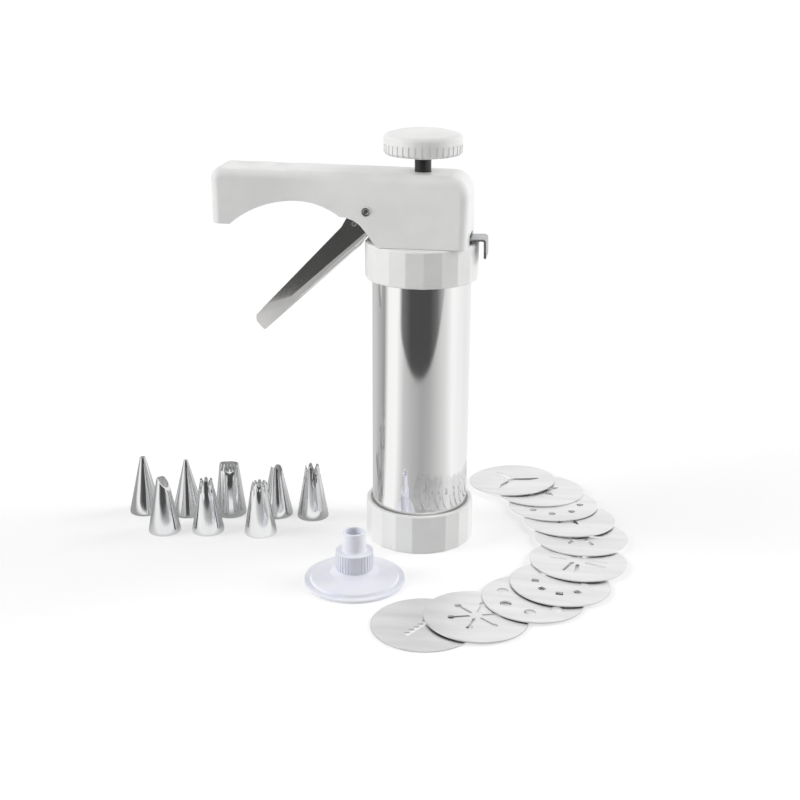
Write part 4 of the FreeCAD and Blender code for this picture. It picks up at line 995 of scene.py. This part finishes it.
@dataclass
class Plunger:
    """The black rod with its knob; the piston at its foot stays from the frame."""

    rod_radius: float = 4.1
    rod_edge: float = 0.2
    stud_radius: float = 3.0
    stud_bottom: float = 10.5
    stud_edge: float = 0.3
    shoulder: float = 17.7
    knob_radius: float = 19.4
    knob_bottom: float = 200.8
    rim_bottom: float = 203.1
    rib_top: float = 208.0
    rim_top: float = 212.3
    knob_top: float = 214.8
    ribs: int = 38
    groove_depth: float = 0.35

    def build(self) -> None:
        """Make the rod and the knob."""
        self.rod()
        self.knob()

    def rod(self) -> Piece:
        """The rod and its turned-down stud."""
        stud, foot, nick = self.stud_radius, self.stud_bottom, self.stud_edge
        rod, edge = self.rod_radius, self.rod_edge
        piece = Bench.turned("piston_rod_black", [
            (0, foot), (stud - nick, foot), (stud, foot + nick), (stud, self.shoulder),
            (rod - edge, self.shoulder), (rod, self.shoulder + edge), (rod, ROD_TOP - edge),
            (rod - edge, ROD_TOP), (0, ROD_TOP),
        ], 64, closed=False)
        Bench.smoothed(piece)
        return Bench.dressed(piece, BLACK_OXIDE, "rod", ["piston_rod"], "black_rod")

    def knob(self) -> Piece:
        """The domed knob: turned, then the flutes between its grip ribs pressed in."""
        profile = rounded([
            (self.rod_radius, self.knob_bottom, 0),
            (7.4, self.knob_bottom, 0.5),
            (8.6, self.rim_bottom - 0.9, 0.8),
            (self.knob_radius - 1.2, self.rim_bottom - 0.4, 0.6),
            (self.knob_radius, self.rim_bottom + 0.8, 0.8),
            (self.knob_radius, self.rib_top, 0),
            (self.knob_radius, self.rim_top, 2.6),
            (11.7, self.knob_top - 0.6, 24.0),
            (4.8, self.knob_top, 12.0),
            (0.0, self.knob_top, 0),
            (0.0, ROD_TOP, 0),
            (self.rod_radius, ROD_TOP, 0),
        ], 6)
        knob = Bench.turned("knob_moulded", profile, self.ribs * 4)
        Bench.groove(knob, self.ribs, (self.rim_bottom, self.rib_top),
                     self.knob_radius - 1.0, self.groove_depth)
        Bench.smoothed(knob, 34)
        return Bench.dressed(knob, WHITE_ABS, "rod", ["knob"], "white_plastic")


# --- squeeze lever


@dataclass
class Trigger:
    """The pressed steel lever and the pin across it."""

    width: float = 17.0
    sheet: float = 1.2
    reach: float = 86.1
    depth: float = 11.2
    bend: float = 4.2
    tip_corner: float = 6.0
    fold_start: Point = (-60.0, -7.2)
    fold_upper: Point = (-72.0, -2.0)
    fold_draw: float = 3.6
    nose_reach: float = 18.0
    nose_angle: float = 28.0
    nose_half: float = 3.0
    pin_spot: Point = (-11.1, -0.9)
    pin_radius: float = 1.2
    slope: float = 42.45

    def build(self) -> None:
        """Make the lever and its cross pin."""
        self.lever()
        self.stop_pin()

    def hanging(self) -> Matrix:
        """Where the lever hangs: it is drawn level along -X from its pivot."""
        turn = Matrix.Rotation(math.radians(-self.slope), 4, "Y")
        return moved(PIVOT_X, 0, PIVOT_Z) @ turn

    def hung(self, x: float, z: float, radius: float = 0.0) -> Corner:
        """A corner given as the lever hangs, in the lever's level drawing."""
        level = Matrix.Rotation(math.radians(self.slope), 3, "Y") @ Vector((x, 0, z))
        return (level.x, level.z, radius)

    def side(self) -> list[Corner]:
        """The lever from the side: handle, ears at the pivot and noses by the rod."""
        nose_x = self.nose_reach * math.cos(math.radians(self.nose_angle))
        nose_z = self.nose_reach * math.sin(math.radians(self.nose_angle))
        half, tip, web = self.nose_half, -self.reach, -self.depth
        return [
            (-1.0, -7.0, 0), (-6.0, -9.8, 6.0), (-13.0, -9.9, 0), (-17.0, web, 0),
            (tip, web, 1.6), (tip + 0.7, -5.3, 3.0), (tip + 3.7, -2.4, 1.2),
            (-17.5, 2.0, 0), (-11.6, 3.9, 0), (-6.0, 6.6, 3.0), (1.5, 6.6, 0),
            self.hung(nose_x + half, nose_z + half, 1.5),
            self.hung(nose_x + half, nose_z - half, 3.0),
            self.hung(nose_x - half, nose_z - half, 3.0), self.hung(nose_x - half, nose_z),
        ]

    def plan(self, inset: float) -> list[Corner]:
        """The lever from above: a parallel strip with a rounded tip.

        Args:
            inset: how far inside the outer surface the line lies, in millimetres.

        Returns:
            The outline's corners.
        """
        half, tip, corner = self.width / 2 - inset, inset - self.reach, self.tip_corner - inset
        return [(36, -half, 0), (36, half, 0), (tip, half, corner), (tip, -half, corner)]

    def section(self, inset: float) -> list[Corner]:
        """The lever's channel from the end.

        Args:
            inset: how far inside the outer surface the line lies, in millimetres.

        Returns:
            The outline's corners.
        """
        half, web, bend = self.width / 2 - inset, inset - self.depth, self.bend - inset
        return [(-half, web, bend), (half, web, bend), (half, 36, 0), (-half, 36, 0)]

    def trimmed(self, form: Piece, inset: float) -> Piece:
        """Trim the level form to the strip, the channel and the folds by the tip.

        Args:
            form: the lever's outside or its hollow, drawn out from the side.
            inset: how far inside the outer surface the form lies, in millimetres.

        Returns:
            The same piece.
        """
        Bench.carve(form, [
            Bench.drawn_out("Plan", rounded(self.plan(inset), 12), PLAN, -40, 80),
            Bench.drawn_out("Section", rounded(self.section(inset), 8), FRONT, -100, 150),
        ], Carving.SHARE)
        for side in (-1, 1):
            half = side * self.width / 2
            start = Vector((self.fold_start[0], half, self.fold_start[1]))
            upper = Vector((self.fold_upper[0], half, self.fold_upper[1]))
            lower = Vector((-self.reach, half - side * self.fold_draw, -self.depth))
            outward = (upper - start).cross(lower - start).normalized()
            outward *= math.copysign(1, outward.y * side)
            Bench.take(form)
            bpy.ops.object.mode_set(mode="EDIT")
            bpy.ops.mesh.select_all(action="SELECT")
            bpy.ops.mesh.bisect(plane_co=(start - outward * inset) * MM, plane_no=outward,
                                use_fill=True, clear_outer=True)
            bpy.ops.object.mode_set(mode="OBJECT")
        return form

    def lever(self) -> Piece:
        """The lever: a channel pressed from sheet, forked at the pivot."""
        outline = rounded(self.side(), 10)
        form = Bench.drawn_out("trigger_lever_pressed", outline, SIDE, -20, 40)
        self.trimmed(form, 0)
        tip, web = self.sheet - self.reach, self.sheet - self.depth
        outline = rounded([(36, web, 0), (36, 36, 0), (tip, 36, 0), (tip, web, 1.0)], 8)
        hollow = Bench.drawn_out("Hollow", outline, SIDE, -20, 40)
        self.trimmed(hollow, self.sheet)
        inner = self.width / 2 - self.sheet
        x, z = self.pin_spot
        Bench.carve(form, [
            hollow,
            Bench.block("Fork", (-6, -inner, -50), (80, inner, 50)),
            Bench.bar("PinHole", PIN_HOLE, (0, 0, 0), 40, Y),
            Bench.bar("StopHole", self.pin_radius, (x, 0, z), 40, Y),
        ], Carving.CUT)
        Bench.eased(form, 0.22)
        Bench.smoothed(form, 35)
        Bench.placed(form, self.hanging())
        return Bench.dressed(form, PLATED_STEEL, "trigger", ["trigger_lever"],
                             "polished_steel")

    def stop_pin(self) -> Piece:
        """The small riveted pin across the lever by the head's edge."""
        pin = riveted_pin("lever_stop_pin_riveted", self.pin_radius, 18.0)
        x, z = self.pin_spot
        Bench.placed(pin, self.hanging() @ moved(x, 0, z) @ CROSSWISE)
        return Bench.dressed(pin, PLATED_STEEL, "trigger", ["lever_stop_pin"],
                             "polished_steel")


# --- release tab


@dataclass
class Release:
    """The lock plate whose bent tail is the release tab."""

    thickness: float = 1.2
    front: float = 15.0
    shoulder: float = 20.0
    tail: float = 32.5
    plate_half: float = 7.5
    tab_half: float = 7.0
    rod_hole: float = 4.2
    drop: float = 9.8
    tilt: float = 1.4
    height: float = 160.45
    overlap: float = 2.0

    def build(self) -> Piece:
        """Make the plate with its bent tab, its rod hole and eased edges."""
        thick, half, wide = self.thickness, self.plate_half, self.tab_half
        root, bend = self.shoulder - self.overlap, self.tail - self.thickness
        side = rounded([
            (root, 0, 0), (bend, 0, 0.6), (bend, thick - self.drop, 0),
            (self.tail, thick - self.drop, 0), (self.tail, thick, 1.7), (root, thick, 0),
        ], 8)
        tab = Bench.drawn_out("lock_plate_bent", side, SIDE, -wide, wide * 2)
        plate = Bench.drawn_out("Plate", [
            (-self.front, -half), (self.shoulder, -half), (self.shoulder, half),
            (-self.front, half),
        ], PLAN, 0, thick)
        Bench.carve(tab, [plate], Carving.JOIN)
        hole = Bench.bar("RodHole", self.rod_hole, (0, 0, 0), 10, Z, 64)
        Bench.carve(tab, [hole], Carving.CUT)
        Bench.eased(tab, 0.18)
        Bench.smoothed(tab, 35)
        turn = Matrix.Rotation(math.radians(-self.tilt), 4, "Y")
        front = Vector((-self.front, 0, 0)) * MM
        low = Vector((0, 0, self.height)) * MM
        Bench.placed(tab, Matrix.Translation(front + low - turn.to_3x3() @ front) @ turn)
        return Bench.dressed(tab, ZINC_PLATE, "lock", ["lock_plate"], "plain_steel")


# --- loose set: nozzles


class Mouth(Enum):
    """How a nozzle's mouth is cut."""

    ROUND = "round"
    STAR = "star"
    SLANT = "slant"
    BILLS = "bills"
    BASKET = "basket"


@dataclass
class Nozzle:
    """One nozzle of the set: thin sheet drawn to a cone, its mouth cut to shape."""

    node: str
    height: float
    mouth_radius: float
    x: float
    y: float
    mouth: Mouth
    turn: float = 0.0
    teeth: int = 0
    tooth: float = 0.0
    fold: float = 1.0
    base_radius: float = 8.6
    foot: float = 1.2
    wall: float = 0.5

    def build(self) -> Piece:
        """Draw the cone, cut its mouth and stand it in its place."""
        cone = self.cone()
        if self.mouth is Mouth.STAR:
            self.cut_star(cone)
        elif self.mouth is Mouth.SLANT:
            self.cut_with(cone, [(-1.0, 0.5), (6.0, 0.5), (6.0, -8.0)])
        elif self.mouth is Mouth.BILLS:
            self.cut_with(cone, [(-2.2, 0.5), (0.0, -5.0), (2.2, 0.5)])
        elif self.mouth is Mouth.BASKET:
            self.cut_basket(cone)
        Bench.smoothed(cone, 40)
        turn = Matrix.Rotation(math.radians(self.turn), 4, "Z")
        Bench.placed(cone, moved(self.x, self.y, 0) @ turn)
        return Bench.dressed(cone, DRAWN_SHEET, "frame", [self.node], "nozzle_steel")

    def cone(self) -> Piece:
        """The plain cone with its foot, in rings close enough to be folded."""
        rise = self.height - self.foot
        shrink = (self.base_radius - self.mouth_radius) / rise
        outside = [(self.base_radius, 0.0), (self.base_radius, self.foot)]
        for share in (0.3, 0.6, 0.75, 0.85, 0.93, 1.0):
            outside.append((self.base_radius - shrink * rise * share,
                            self.foot + rise * share))
        inside = [(radius - self.wall, z) for radius, z in reversed(outside)]
        return Bench.turned(f"{self.node}_drawn", outside + inside, 72)

    def cut_with(self, cone: Piece, outline: Sequence[Point]) -> None:
        """Cut across the mouth with a tool drawn from the side.

        Args:
            cone: the nozzle.
            outline: the tool's outline, its heights taken from the mouth's.
        """
        corners = [(x, self.height + z) for x, z in outline]
        tool = Bench.drawn_out("Tool", corners, SIDE, -12, 24)
        Bench.carve(cone, [tool], Carving.CUT)

    def press_above(self, cone: Piece, share: float, scale: Sequence[float],
                    wanted: Callable[[Vector], bool]) -> None:
        """Press in the wall above a level, towards the axis.

        Args:
            cone: the nozzle, which is left in edit mode.
            share: the level, as a share of the cone's rise.
            scale: the scale along each axis.
            wanted: which spots of the wall are pressed.
        """
        level = self.foot + (self.height - self.foot) * share

        def chosen(vertex: Element) -> bool:
            """Whether a vertex lies above the level, where the wall is pressed."""
            spot = vertex.co / MM
            return spot.z > level and wanted(spot)

        Bench.pick(cone, Kind.VERTS, chosen)
        bpy.ops.transform.resize(value=scale, center_override=(0, 0, 0))

    def cut_star(self, cone: Piece) -> None:
        """Fold the wall between the teeth inwards, then nick it to points.

        Args:
            cone: the nozzle.
        """
        pitch = math.tau / self.teeth

        def in_a_valley(spot: Vector) -> bool:
            """Whether a spot lies between two teeth."""
            angle = math.atan2(spot.y, spot.x) % pitch
            return min(angle, pitch - angle) < pitch * 0.2

        for low, share in ((0.7, 0.35), (0.8, 0.5), (0.9, 0.7), (0.97, 1.0)):
            scale = 1 - (1 - self.fold) * share * 0.4
            self.press_above(cone, low, (scale, scale, 1), in_a_valley)
        bpy.ops.object.mode_set(mode="OBJECT")
        half = self.mouth_radius * math.sin(math.pi / self.teeth) * 0.8
        tools = []
        for index in range(self.teeth):
            notch = Bench.drawn_out("Notch", [
                (-half, self.height + 0.5), (0, self.height - self.tooth),
                (half, self.height + 0.5),
            ], FRONT, 0, 12)
            turn = Matrix.Rotation(pitch * index, 4, "Z")
            tools.append(Bench.placed(notch, turn))
        Bench.carve(cone, tools, Carving.CUT)

    def cut_basket(self, cone: Piece) -> None:
        """Press the mouth flat, and cut slanting slots in its front lip.

        Args:
            cone: the nozzle.
        """
        for low, share in ((0.5, 0.2), (0.7, 0.5), (0.8, 0.75), (0.9, 1.0)):
            self.press_above(cone, low, (1, 1 - 0.24 * share, 1), lambda spot: True)
        bpy.ops.object.mode_set(mode="OBJECT")
        tools = []
        slots, pitch = 5, 1.75
        for index in range(slots):
            x = pitch * (index - slots // 2)
            tools.append(Bench.drawn_out("Slot", [
                (x - 0.1, self.height + 0.5), (x - 0.9, self.height - 3.6),
                (x + 0.2, self.height - 3.9), (x + 1.15, self.height + 0.5),
            ], SIDE, -8, 7.6))
        Bench.carve(cone, tools, Carving.CUT)


NOZZLES = (
    Nozzle("nozzle_round", 32.1, 1.5, -154.5, 3.2, Mouth.ROUND),
    Nozzle("nozzle_round_fine", 31.4, 1.1, -130.3, 4.3, Mouth.ROUND),
    Nozzle("nozzle_star_closed", 29.8, 3.2, -112.9, -16.1, Mouth.STAR, 15.0, 6, 2.8, 0.6),
    Nozzle("nozzle_star_fine", 29.1, 4.0, -84.3, -14.1, Mouth.STAR, 0.0, 9, 1.7, 0.8),
    Nozzle("nozzle_star_open", 30.1, 3.6, -60.9, 11.2, Mouth.STAR, 10.0, 5, 4.2, 0.7),
    Nozzle("nozzle_petal", 30.4, 2.9, -136.0, -19.8, Mouth.SLANT, -20.0),
    Nozzle("nozzle_leaf", 28.4, 2.9, -81.0, 10.7, Mouth.BILLS, 60.0),
    Nozzle("nozzle_basket", 29.7, 5.2, -106.9, 8.0, Mouth.BASKET, 8.0),
)


# --- loose set: adaptor


@dataclass
class Adaptor:
    """The frosted plastic adaptor: a flange for the bottom ring, a stem for a nozzle."""

    x: float = -24.4
    y: float = -61.1
    flange_radius: float = 25.2
    collar_radius: float = 9.4
    stem_radius: float = 5.8
    bore_radius: float = 4.3
    height: float = 26.7
    ribs: int = 36
    groove_band: Point = (7.2, 15.8)
    groove_root: float = 8.8
    groove_depth: float = 0.6

    def build(self) -> Piece:
        """Turn the adaptor with its bore, then press the grooves between its ribs."""
        profile = rounded([
            (self.bore_radius, 0.0, 0),
            (self.flange_radius, 0.0, 0.3),
            (self.flange_radius, 1.6, 0.5),
            (self.flange_radius - 3.0, 1.6, 0),
            (self.flange_radius - 3.5, 3.0, 0.5),
            (self.collar_radius + 2.6, 5.2, 1.5),
            (self.collar_radius, 6.8, 0.6),
            (self.collar_radius, 16.6, 0.5),
            (self.stem_radius + 0.4, 16.6, 0.3),
            (self.stem_radius, 17.4, 0.4),
            (self.stem_radius, self.height, 0.4),
            (self.bore_radius, self.height, 0.2),
        ], 4)
        piece = Bench.turned("nozzle_adaptor_moulded", profile, self.ribs * 4)
        Bench.groove(piece, self.ribs, self.groove_band, self.groove_root, self.groove_depth)
        Bench.smoothed(piece, 34)
        Bench.placed(piece, moved(self.x, self.y, 0))
        return Bench.dressed(piece, FROSTED_PP, "frame", ["nozzle_adaptor"],
                             "clear_plastic")


# --- loose set: discs


@dataclass
class Disc:
    """One shaping disc: the outlines of its holes, how often they repeat, its turn."""

    node: str
    holes: tuple[tuple[Point, ...], ...]
    repeats: int
    turn: float
    soften: float = 0.3

    def lying(self) -> Matrix:
        """Where the disc of the frame lies: its middle and the way it leans."""
        lean = Vector()
        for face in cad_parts[self.node].data.polygons:
            if face.normal.z > 0.9:
                lean += face.normal * face.area
        low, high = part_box(self.node)
        tilt = Z.rotation_difference(lean.normalized()).to_matrix().to_4x4()
        return Matrix.Translation((low + high) / 2) @ tilt


@dataclass
class DiscFan:
    """The ten discs, each lying on the one before it."""

    radius: float = 24.9
    thickness: float = 0.9

    def build(self) -> None:
        """Cut each disc's holes in a copy of one blank and lay it in its place."""
        blank = self.blank()
        for disc in DISCS:
            self.cut(disc, blank)
        bpy.data.objects.remove(blank)

    def blank(self) -> Piece:
        """The round blank about its middle, with the edge that the punch leaves."""
        half = self.thickness / 2
        return Bench.turned("Blank", [
            (0, -half), (self.radius - 0.12, -half), (self.radius, 0.12 - half),
            (self.radius, half - 0.3), (self.radius - 0.12, half - 0.1),
            (self.radius - 0.35, half), (0, half),
        ], 128, closed=False)

    def cut(self, disc: Disc, blank: Piece) -> Piece:
        """One disc: its holes punched and its place taken from the frame.

        Args:
            disc: the disc's holes and node.
            blank: the blank that it is copied from.

        Returns:
            The finished disc.
        """
        piece = Bench.copied(blank, f"{disc.node}_punched")
        tools = []
        for index in range(disc.repeats):
            for outline in disc.holes:
                corners = [(x, y, disc.soften) for x, y in outline]
                tool = Bench.drawn_out("Punch", rounded(corners, 4), PLAN, -3, 6)
                turn = math.tau * index / disc.repeats + math.radians(disc.turn)
                tools.append(Bench.placed(tool, Matrix.Rotation(turn, 4, "Z")))
        Bench.carve(piece, tools, Carving.CUT)
        Bench.smoothed(piece, 30)
        Bench.placed(piece, disc.lying())
        return Bench.dressed(piece, ROLLED_SHEET, "frame", [disc.node], "disc_steel")


def dot(x: float, y: float, radius: float, sides: int = 12) -> tuple[Point, ...]:
    """The outline of a small round hole."""
    turns = [math.tau * index / sides for index in range(sides)]
    return tuple((x + radius * math.cos(a), y + radius * math.sin(a)) for a in turns)


def saw_slot(teeth: int = 8, pitch: float = 3.4) -> tuple[Point, ...]:
    """The outline of one long slot with a sawtooth edge.

    Args:
        teeth: how many teeth it has.
        pitch: the distance between two teeth, in millimetres.

    Returns:
        The outline's points.
    """
    end, foot, root, crest = teeth * pitch / 2, -1.2, 0.4, 2.4
    outline = [(-end, foot), (end, foot), (end, root)]
    for index in range(teeth):
        outline.append((end - (index + 0.5) * pitch, crest))
        outline.append((end - (index + 1) * pitch, root))
    return tuple(outline)


DISCS = (
    Disc("disc_ribbon", (saw_slot(),), 1, 60.0, 0.15),
    Disc("disc_asterisk", (((3, -0.7), (10.5, -0.7), (11.2, -1.5), (13.2, -1.5), (13.9, 0),
                            (13.2, 1.5), (11.2, 1.5), (10.5, 0.7), (3, 0.7)),), 6, 20.0),
    Disc("disc_ovals", (dot(15.5, 0, 2.9, 16),), 7, 10.0, 0.0),
    Disc("disc_squares", (((10.4, -1.8), (14, -1.8), (14, 1.8), (10.4, 1.8)),), 8, 0.0),
    Disc("disc_comb", (((3, 2), (5, 1), (14, 8), (12.6, 9.4)),
                       ((2, 5), (4, 4.6), (9, 12), (7, 12.6))), 4, 30.0),
    Disc("disc_flower", (((4, 0), (5.1, -1.1), (11.9, -1.1), (13, 0), (11.9, 1.1),
                          (5.1, 1.1)),), 6, 0.0),
    Disc("disc_star", (((-1.5, 0), (2.6, -2.6), (10, 0), (2.6, 2.6)),), 5, 15.0),
    Disc("disc_dots", (dot(15, 0, 1.9, 16),), 8, 0.0, 0.0),
    Disc("disc_leaves", (((4, 0), (7, -2.2), (12, 0), (7, 2.2)),), 5, 25.0),
    Disc("disc_propeller", (((0, -1.3), (10, -1.9), (16.5, 0.6), (15, 1.6), (9, 1.2),
                             (0, 1.3), (-1.2, 0)),), 3, 5.0),
)


# --- what stays from the frame


def dress_inner_pieces() -> None:
    """Give the pieces inside the press, which keep the frame's own shapes, their finish."""
    finishes = {
        "guide_plate": NATURAL_ACETAL,
        "guide_plate_screws": ZINC_PLATE,
        "piston": NATURAL_ACETAL,
        "piston_seal": SEAL_RUBBER,
        "piston_washer": ZINC_PLATE,
        "piston_nut": ZINC_PLATE,
        "drive_plate": ZINC_PLATE,
        "drive_spring": ZINC_PLATE,
        "lock_spring": ZINC_PLATE,
        "spring_seat": ZINC_PLATE,
    }
    for node, finish in finishes.items():
        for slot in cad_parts[node].material_slots:
            slot.material = finish.material()
        log.info("%s keeps its shape, in %s", node, finish.name)


# --- studio


@dataclass
class Studio:
    """The pale floor, the soft light, the room that metal mirrors, the camera."""

    floor_size: float = 24.0
    sky: float = 0.38
    floor_fill: float = 0.55
    floor_seen: float = 0.50
    floor_bounce: float = 0.70
    facing: float = -82.8
    lamp_bearings: Point = (-79.0, 101.0)
    lamp_height: float = 26.0
    lamp_strength: float = 2.0
    lamp_spread: float = 38.0
    room_radius: float = 700.0
    room_height: float = 300.0
    room_lift: float = 0.3
    table_edge: float = -307.0
    table_skew: float = 0.06
    table_blur: float = 6.0
    lens: float = 57.431
    film_width: float = 36.0
    camera_spot: Corner = (0.079202, -0.622856, 0.296399)
    camera_turn: Corner = (70.5825, -0.2751, 8.3199)

    # The mirrored grey at each bearing, in degrees from the front towards the right.
    TABLE = (
        (-130, 0.65), (-93, 0.36), (-80, 1.06), (-57, 1.06), (-38, 0.64), (-19, 0.54),
        (4, 0.44), (18, 0.48), (36, 0.62), (56, 0.80), (76, 1.08), (124, 0.95))
    BEYOND = (
        (-130, 0.65), (-113, 0.80), (-98, 0.52), (-79, 1.08), (-52, 1.05), (-44, 0.20),
        (-24, 0.08), (20, 0.08), (36, 0.16), (50, 0.46), (66, 0.78), (86, 1.04),
        (130, 0.92), (180, 0.65))
    WHITE = (1.0, 1.0, 1.0, 1.0)

    def build(self) -> None:
        """Set up everything that isn't part of the press."""
        self.world()
        self.floor()
        self.lamps()
        self.room()
        self.camera()
        bpy.context.scene.view_settings.view_transform = "Standard"

    def world(self) -> None:
        """An even pale sky that mirrors, glass and the camera see as white."""
        world = bpy.data.worlds.new("studio_sky")
        bpy.context.scene.world = world
        tree = empty_tree(world)
        strength = add_node(tree, "ShaderNodeMapRange",
                            values={"To Min": self.sky, "To Max": 1.0},
                            links={"Value": self.seen_directly(tree)})
        light = add_node(tree, "ShaderNodeBackground", values={"Color": self.WHITE},
                         links={"Strength": strength.outputs["Result"]})
        add_node(tree, "ShaderNodeOutputWorld", links={"Surface": light.outputs["Background"]})

    def seen_directly(self, tree: bpy.types.NodeTree) -> bpy.types.NodeSocket:
        """One for rays from the camera, mirrors and glass, and nothing for the rest.

        Args:
            tree: the node tree that asks.

        Returns:
            The output with the answer.
        """
        rays = add_node(tree, "ShaderNodeLightPath")
        seen = rays.outputs["Is Camera Ray"]
        for kind in ("Is Glossy Ray", "Is Transmission Ray"):
            either = add_node(tree, "ShaderNodeMath", settings={"operation": "MAXIMUM"},
                              links={0: seen, 1: rays.outputs[kind]})
            seen = either.outputs["Value"]
        return seen

    def floor(self) -> None:
        """A white sweep of paper that keeps the press's soft shadow."""
        Bench.clear()
        bpy.ops.mesh.primitive_plane_add(size=self.floor_size)
        floor = Bench.named("studio_floor")
        paper = bpy.data.materials.new("white_studio_paper")
        tree = empty_tree(paper)
        seen = self.seen_directly(tree)
        fill = add_node(tree, "ShaderNodeMath", settings={"operation": "MULTIPLY"},
                        values={1: self.floor_fill}, links={0: seen})
        glow = add_node(tree, "ShaderNodeEmission", values={"Color": self.WHITE},
                        links={"Strength": fill.outputs["Value"]})
        tone = add_node(tree, "ShaderNodeMapRange",
                        values={"To Min": self.floor_bounce, "To Max": self.floor_seen},
                        links={"Value": seen})
        matt = add_node(tree, "ShaderNodeBsdfDiffuse", links={"Color": tone.outputs["Result"]})
        both = add_node(tree, "ShaderNodeAddShader",
                        links={0: matt.outputs["BSDF"], 1: glow.outputs["Emission"]})
        add_node(tree, "ShaderNodeOutputMaterial", links={"Surface": both.outputs["Shader"]})
        floor.data.materials.append(paper)

    def lamps(self) -> None:
        """Two broad soft lights, one at each side of the press."""
        for name, bearing in zip(("left_softbox", "right_softbox"), self.lamp_bearings):
            lamp = bpy.data.lights.new(name, "SUN")
            lamp.energy = self.lamp_strength
            lamp.angle = math.radians(self.lamp_spread)
            holder = bpy.data.objects.new(name, lamp)
            bpy.context.scene.collection.objects.link(holder)
            holder.rotation_euler = Euler((math.radians(90 - self.lamp_height), 0,
                                           math.radians(self.facing + bearing + 90)))
            holder.visible_glossy = False

    def room(self) -> None:
        """The room that only metal and gloss mirror, a bowl round the press."""
        walls = bpy.data.materials.new("studio_room_as_mirrored")
        tree = empty_tree(walls)
        glow = add_node(tree, "ShaderNodeEmission", links={"Color": self.mirrored(tree)})
        add_node(tree, "ShaderNodeOutputMaterial", links={"Surface": glow.outputs["Emission"]})
        room = Bench.turned("studio_room", [
            (0, self.room_lift), (self.room_radius, self.room_lift),
            (self.room_radius, self.room_height),
        ], 96, closed=False)
        room.data.materials.append(walls)
        room.visible_camera = False
        room.visible_diffuse = False
        room.visible_shadow = False
        room.visible_transmission = False

    def mirrored(self, tree: bpy.types.NodeTree) -> bpy.types.NodeSocket:
        """What the metal mirrors: a grey table, white softboxes and a dark end of the room.

        The brightness goes by the bearing, with one run of it for the table and one for
        the room beyond the table's edge.

        Args:
            tree: the room's node tree.

        Returns:
            The output with the colour.
        """
        place = add_node(tree, "ShaderNodeTexCoord").outputs["Object"]
        turned = add_node(tree, "ShaderNodeMapping",
                          values={"Rotation": (0, 0, -math.radians(self.facing))},
                          links={"Vector": place})
        ahead = add_node(tree, "ShaderNodeSeparateXYZ",
                         links={"Vector": turned.outputs["Vector"]})
        bearing = add_node(tree, "ShaderNodeMath", settings={"operation": "ARCTAN2"},
                           links={0: ahead.outputs["Y"], 1: ahead.outputs["X"]})
        round_share = add_node(tree, "ShaderNodeMapRange",
                               values={"From Min": -math.pi, "From Max": math.pi},
                               links={"Value": bearing.outputs["Value"]})
        share = round_share.outputs["Result"]
        flat = add_node(tree, "ShaderNodeSeparateXYZ", links={"Vector": place})
        skew = add_node(tree, "ShaderNodeMath", settings={"operation": "MULTIPLY_ADD"},
                        values={1: -self.table_skew},
                        links={0: flat.outputs["X"], 2: flat.outputs["Y"]})
        edge = add_node(tree, "ShaderNodeMapRange",
                        values={"From Min": (self.table_edge + self.table_blur) * MM,
                                "From Max": (self.table_edge - self.table_blur) * MM},
                        links={"Value": skew.outputs["Value"]})
        light = add_node(tree, "ShaderNodeMix", settings={"data_type": "RGBA"},
                         links={0: edge.outputs["Result"],
                                6: self.brightness(tree, share, self.TABLE),
                                7: self.brightness(tree, share, self.BEYOND)})
        return light.outputs[2]

    def brightness(self, tree: bpy.types.NodeTree, share: bpy.types.NodeSocket,
                   stops: Sequence[Point]) -> bpy.types.NodeSocket:
        """A grey that changes with the bearing.

        Args:
            tree: the material's node tree.
            share: the bearing as a share of the whole turn.
            stops: the bearing in degrees and the brightness there.

        Returns:
            The output with the grey.
        """
        ramp = add_node(tree, "ShaderNodeValToRGB", links={"Fac": share})
        elements = ramp.color_ramp.elements
        while len(elements) < len(stops):
            elements.new(1.0)
        for element, (bearing, grey) in zip(elements, stops):
            element.position = (bearing + 180) / 360
            element.color = (grey, grey, grey, 1.0)
        return ramp.outputs["Color"]

    def camera(self) -> None:
        """The camera, in front of the press and a little to its right, looking down on it."""
        view = bpy.data.cameras.new("camera")
        view.lens = self.lens
        view.sensor_width = self.film_width
        holder = bpy.data.objects.new("camera", view)
        bpy.context.scene.collection.objects.link(holder)
        holder.location = self.camera_spot
        holder.rotation_euler = Euler([math.radians(angle) for angle in self.camera_turn])
        bpy.context.scene.camera = holder


# --- run


def main() -> None:
    """Build the studio and every piece of the press, and log how many faces each piece has."""
    logging.basicConfig(level=logging.INFO, format="%(name)s: %(message)s")
    Studio().build()
    Barrel().build()
    Head().build()
    Plunger().build()
    Trigger().build()
    Release().build()
    for nozzle in NOZZLES:
        nozzle.build()
    Adaptor().build()
    DiscFan().build()
    dress_inner_pieces()
    Bench.clear()


if __name__ == "__main__":
    main()
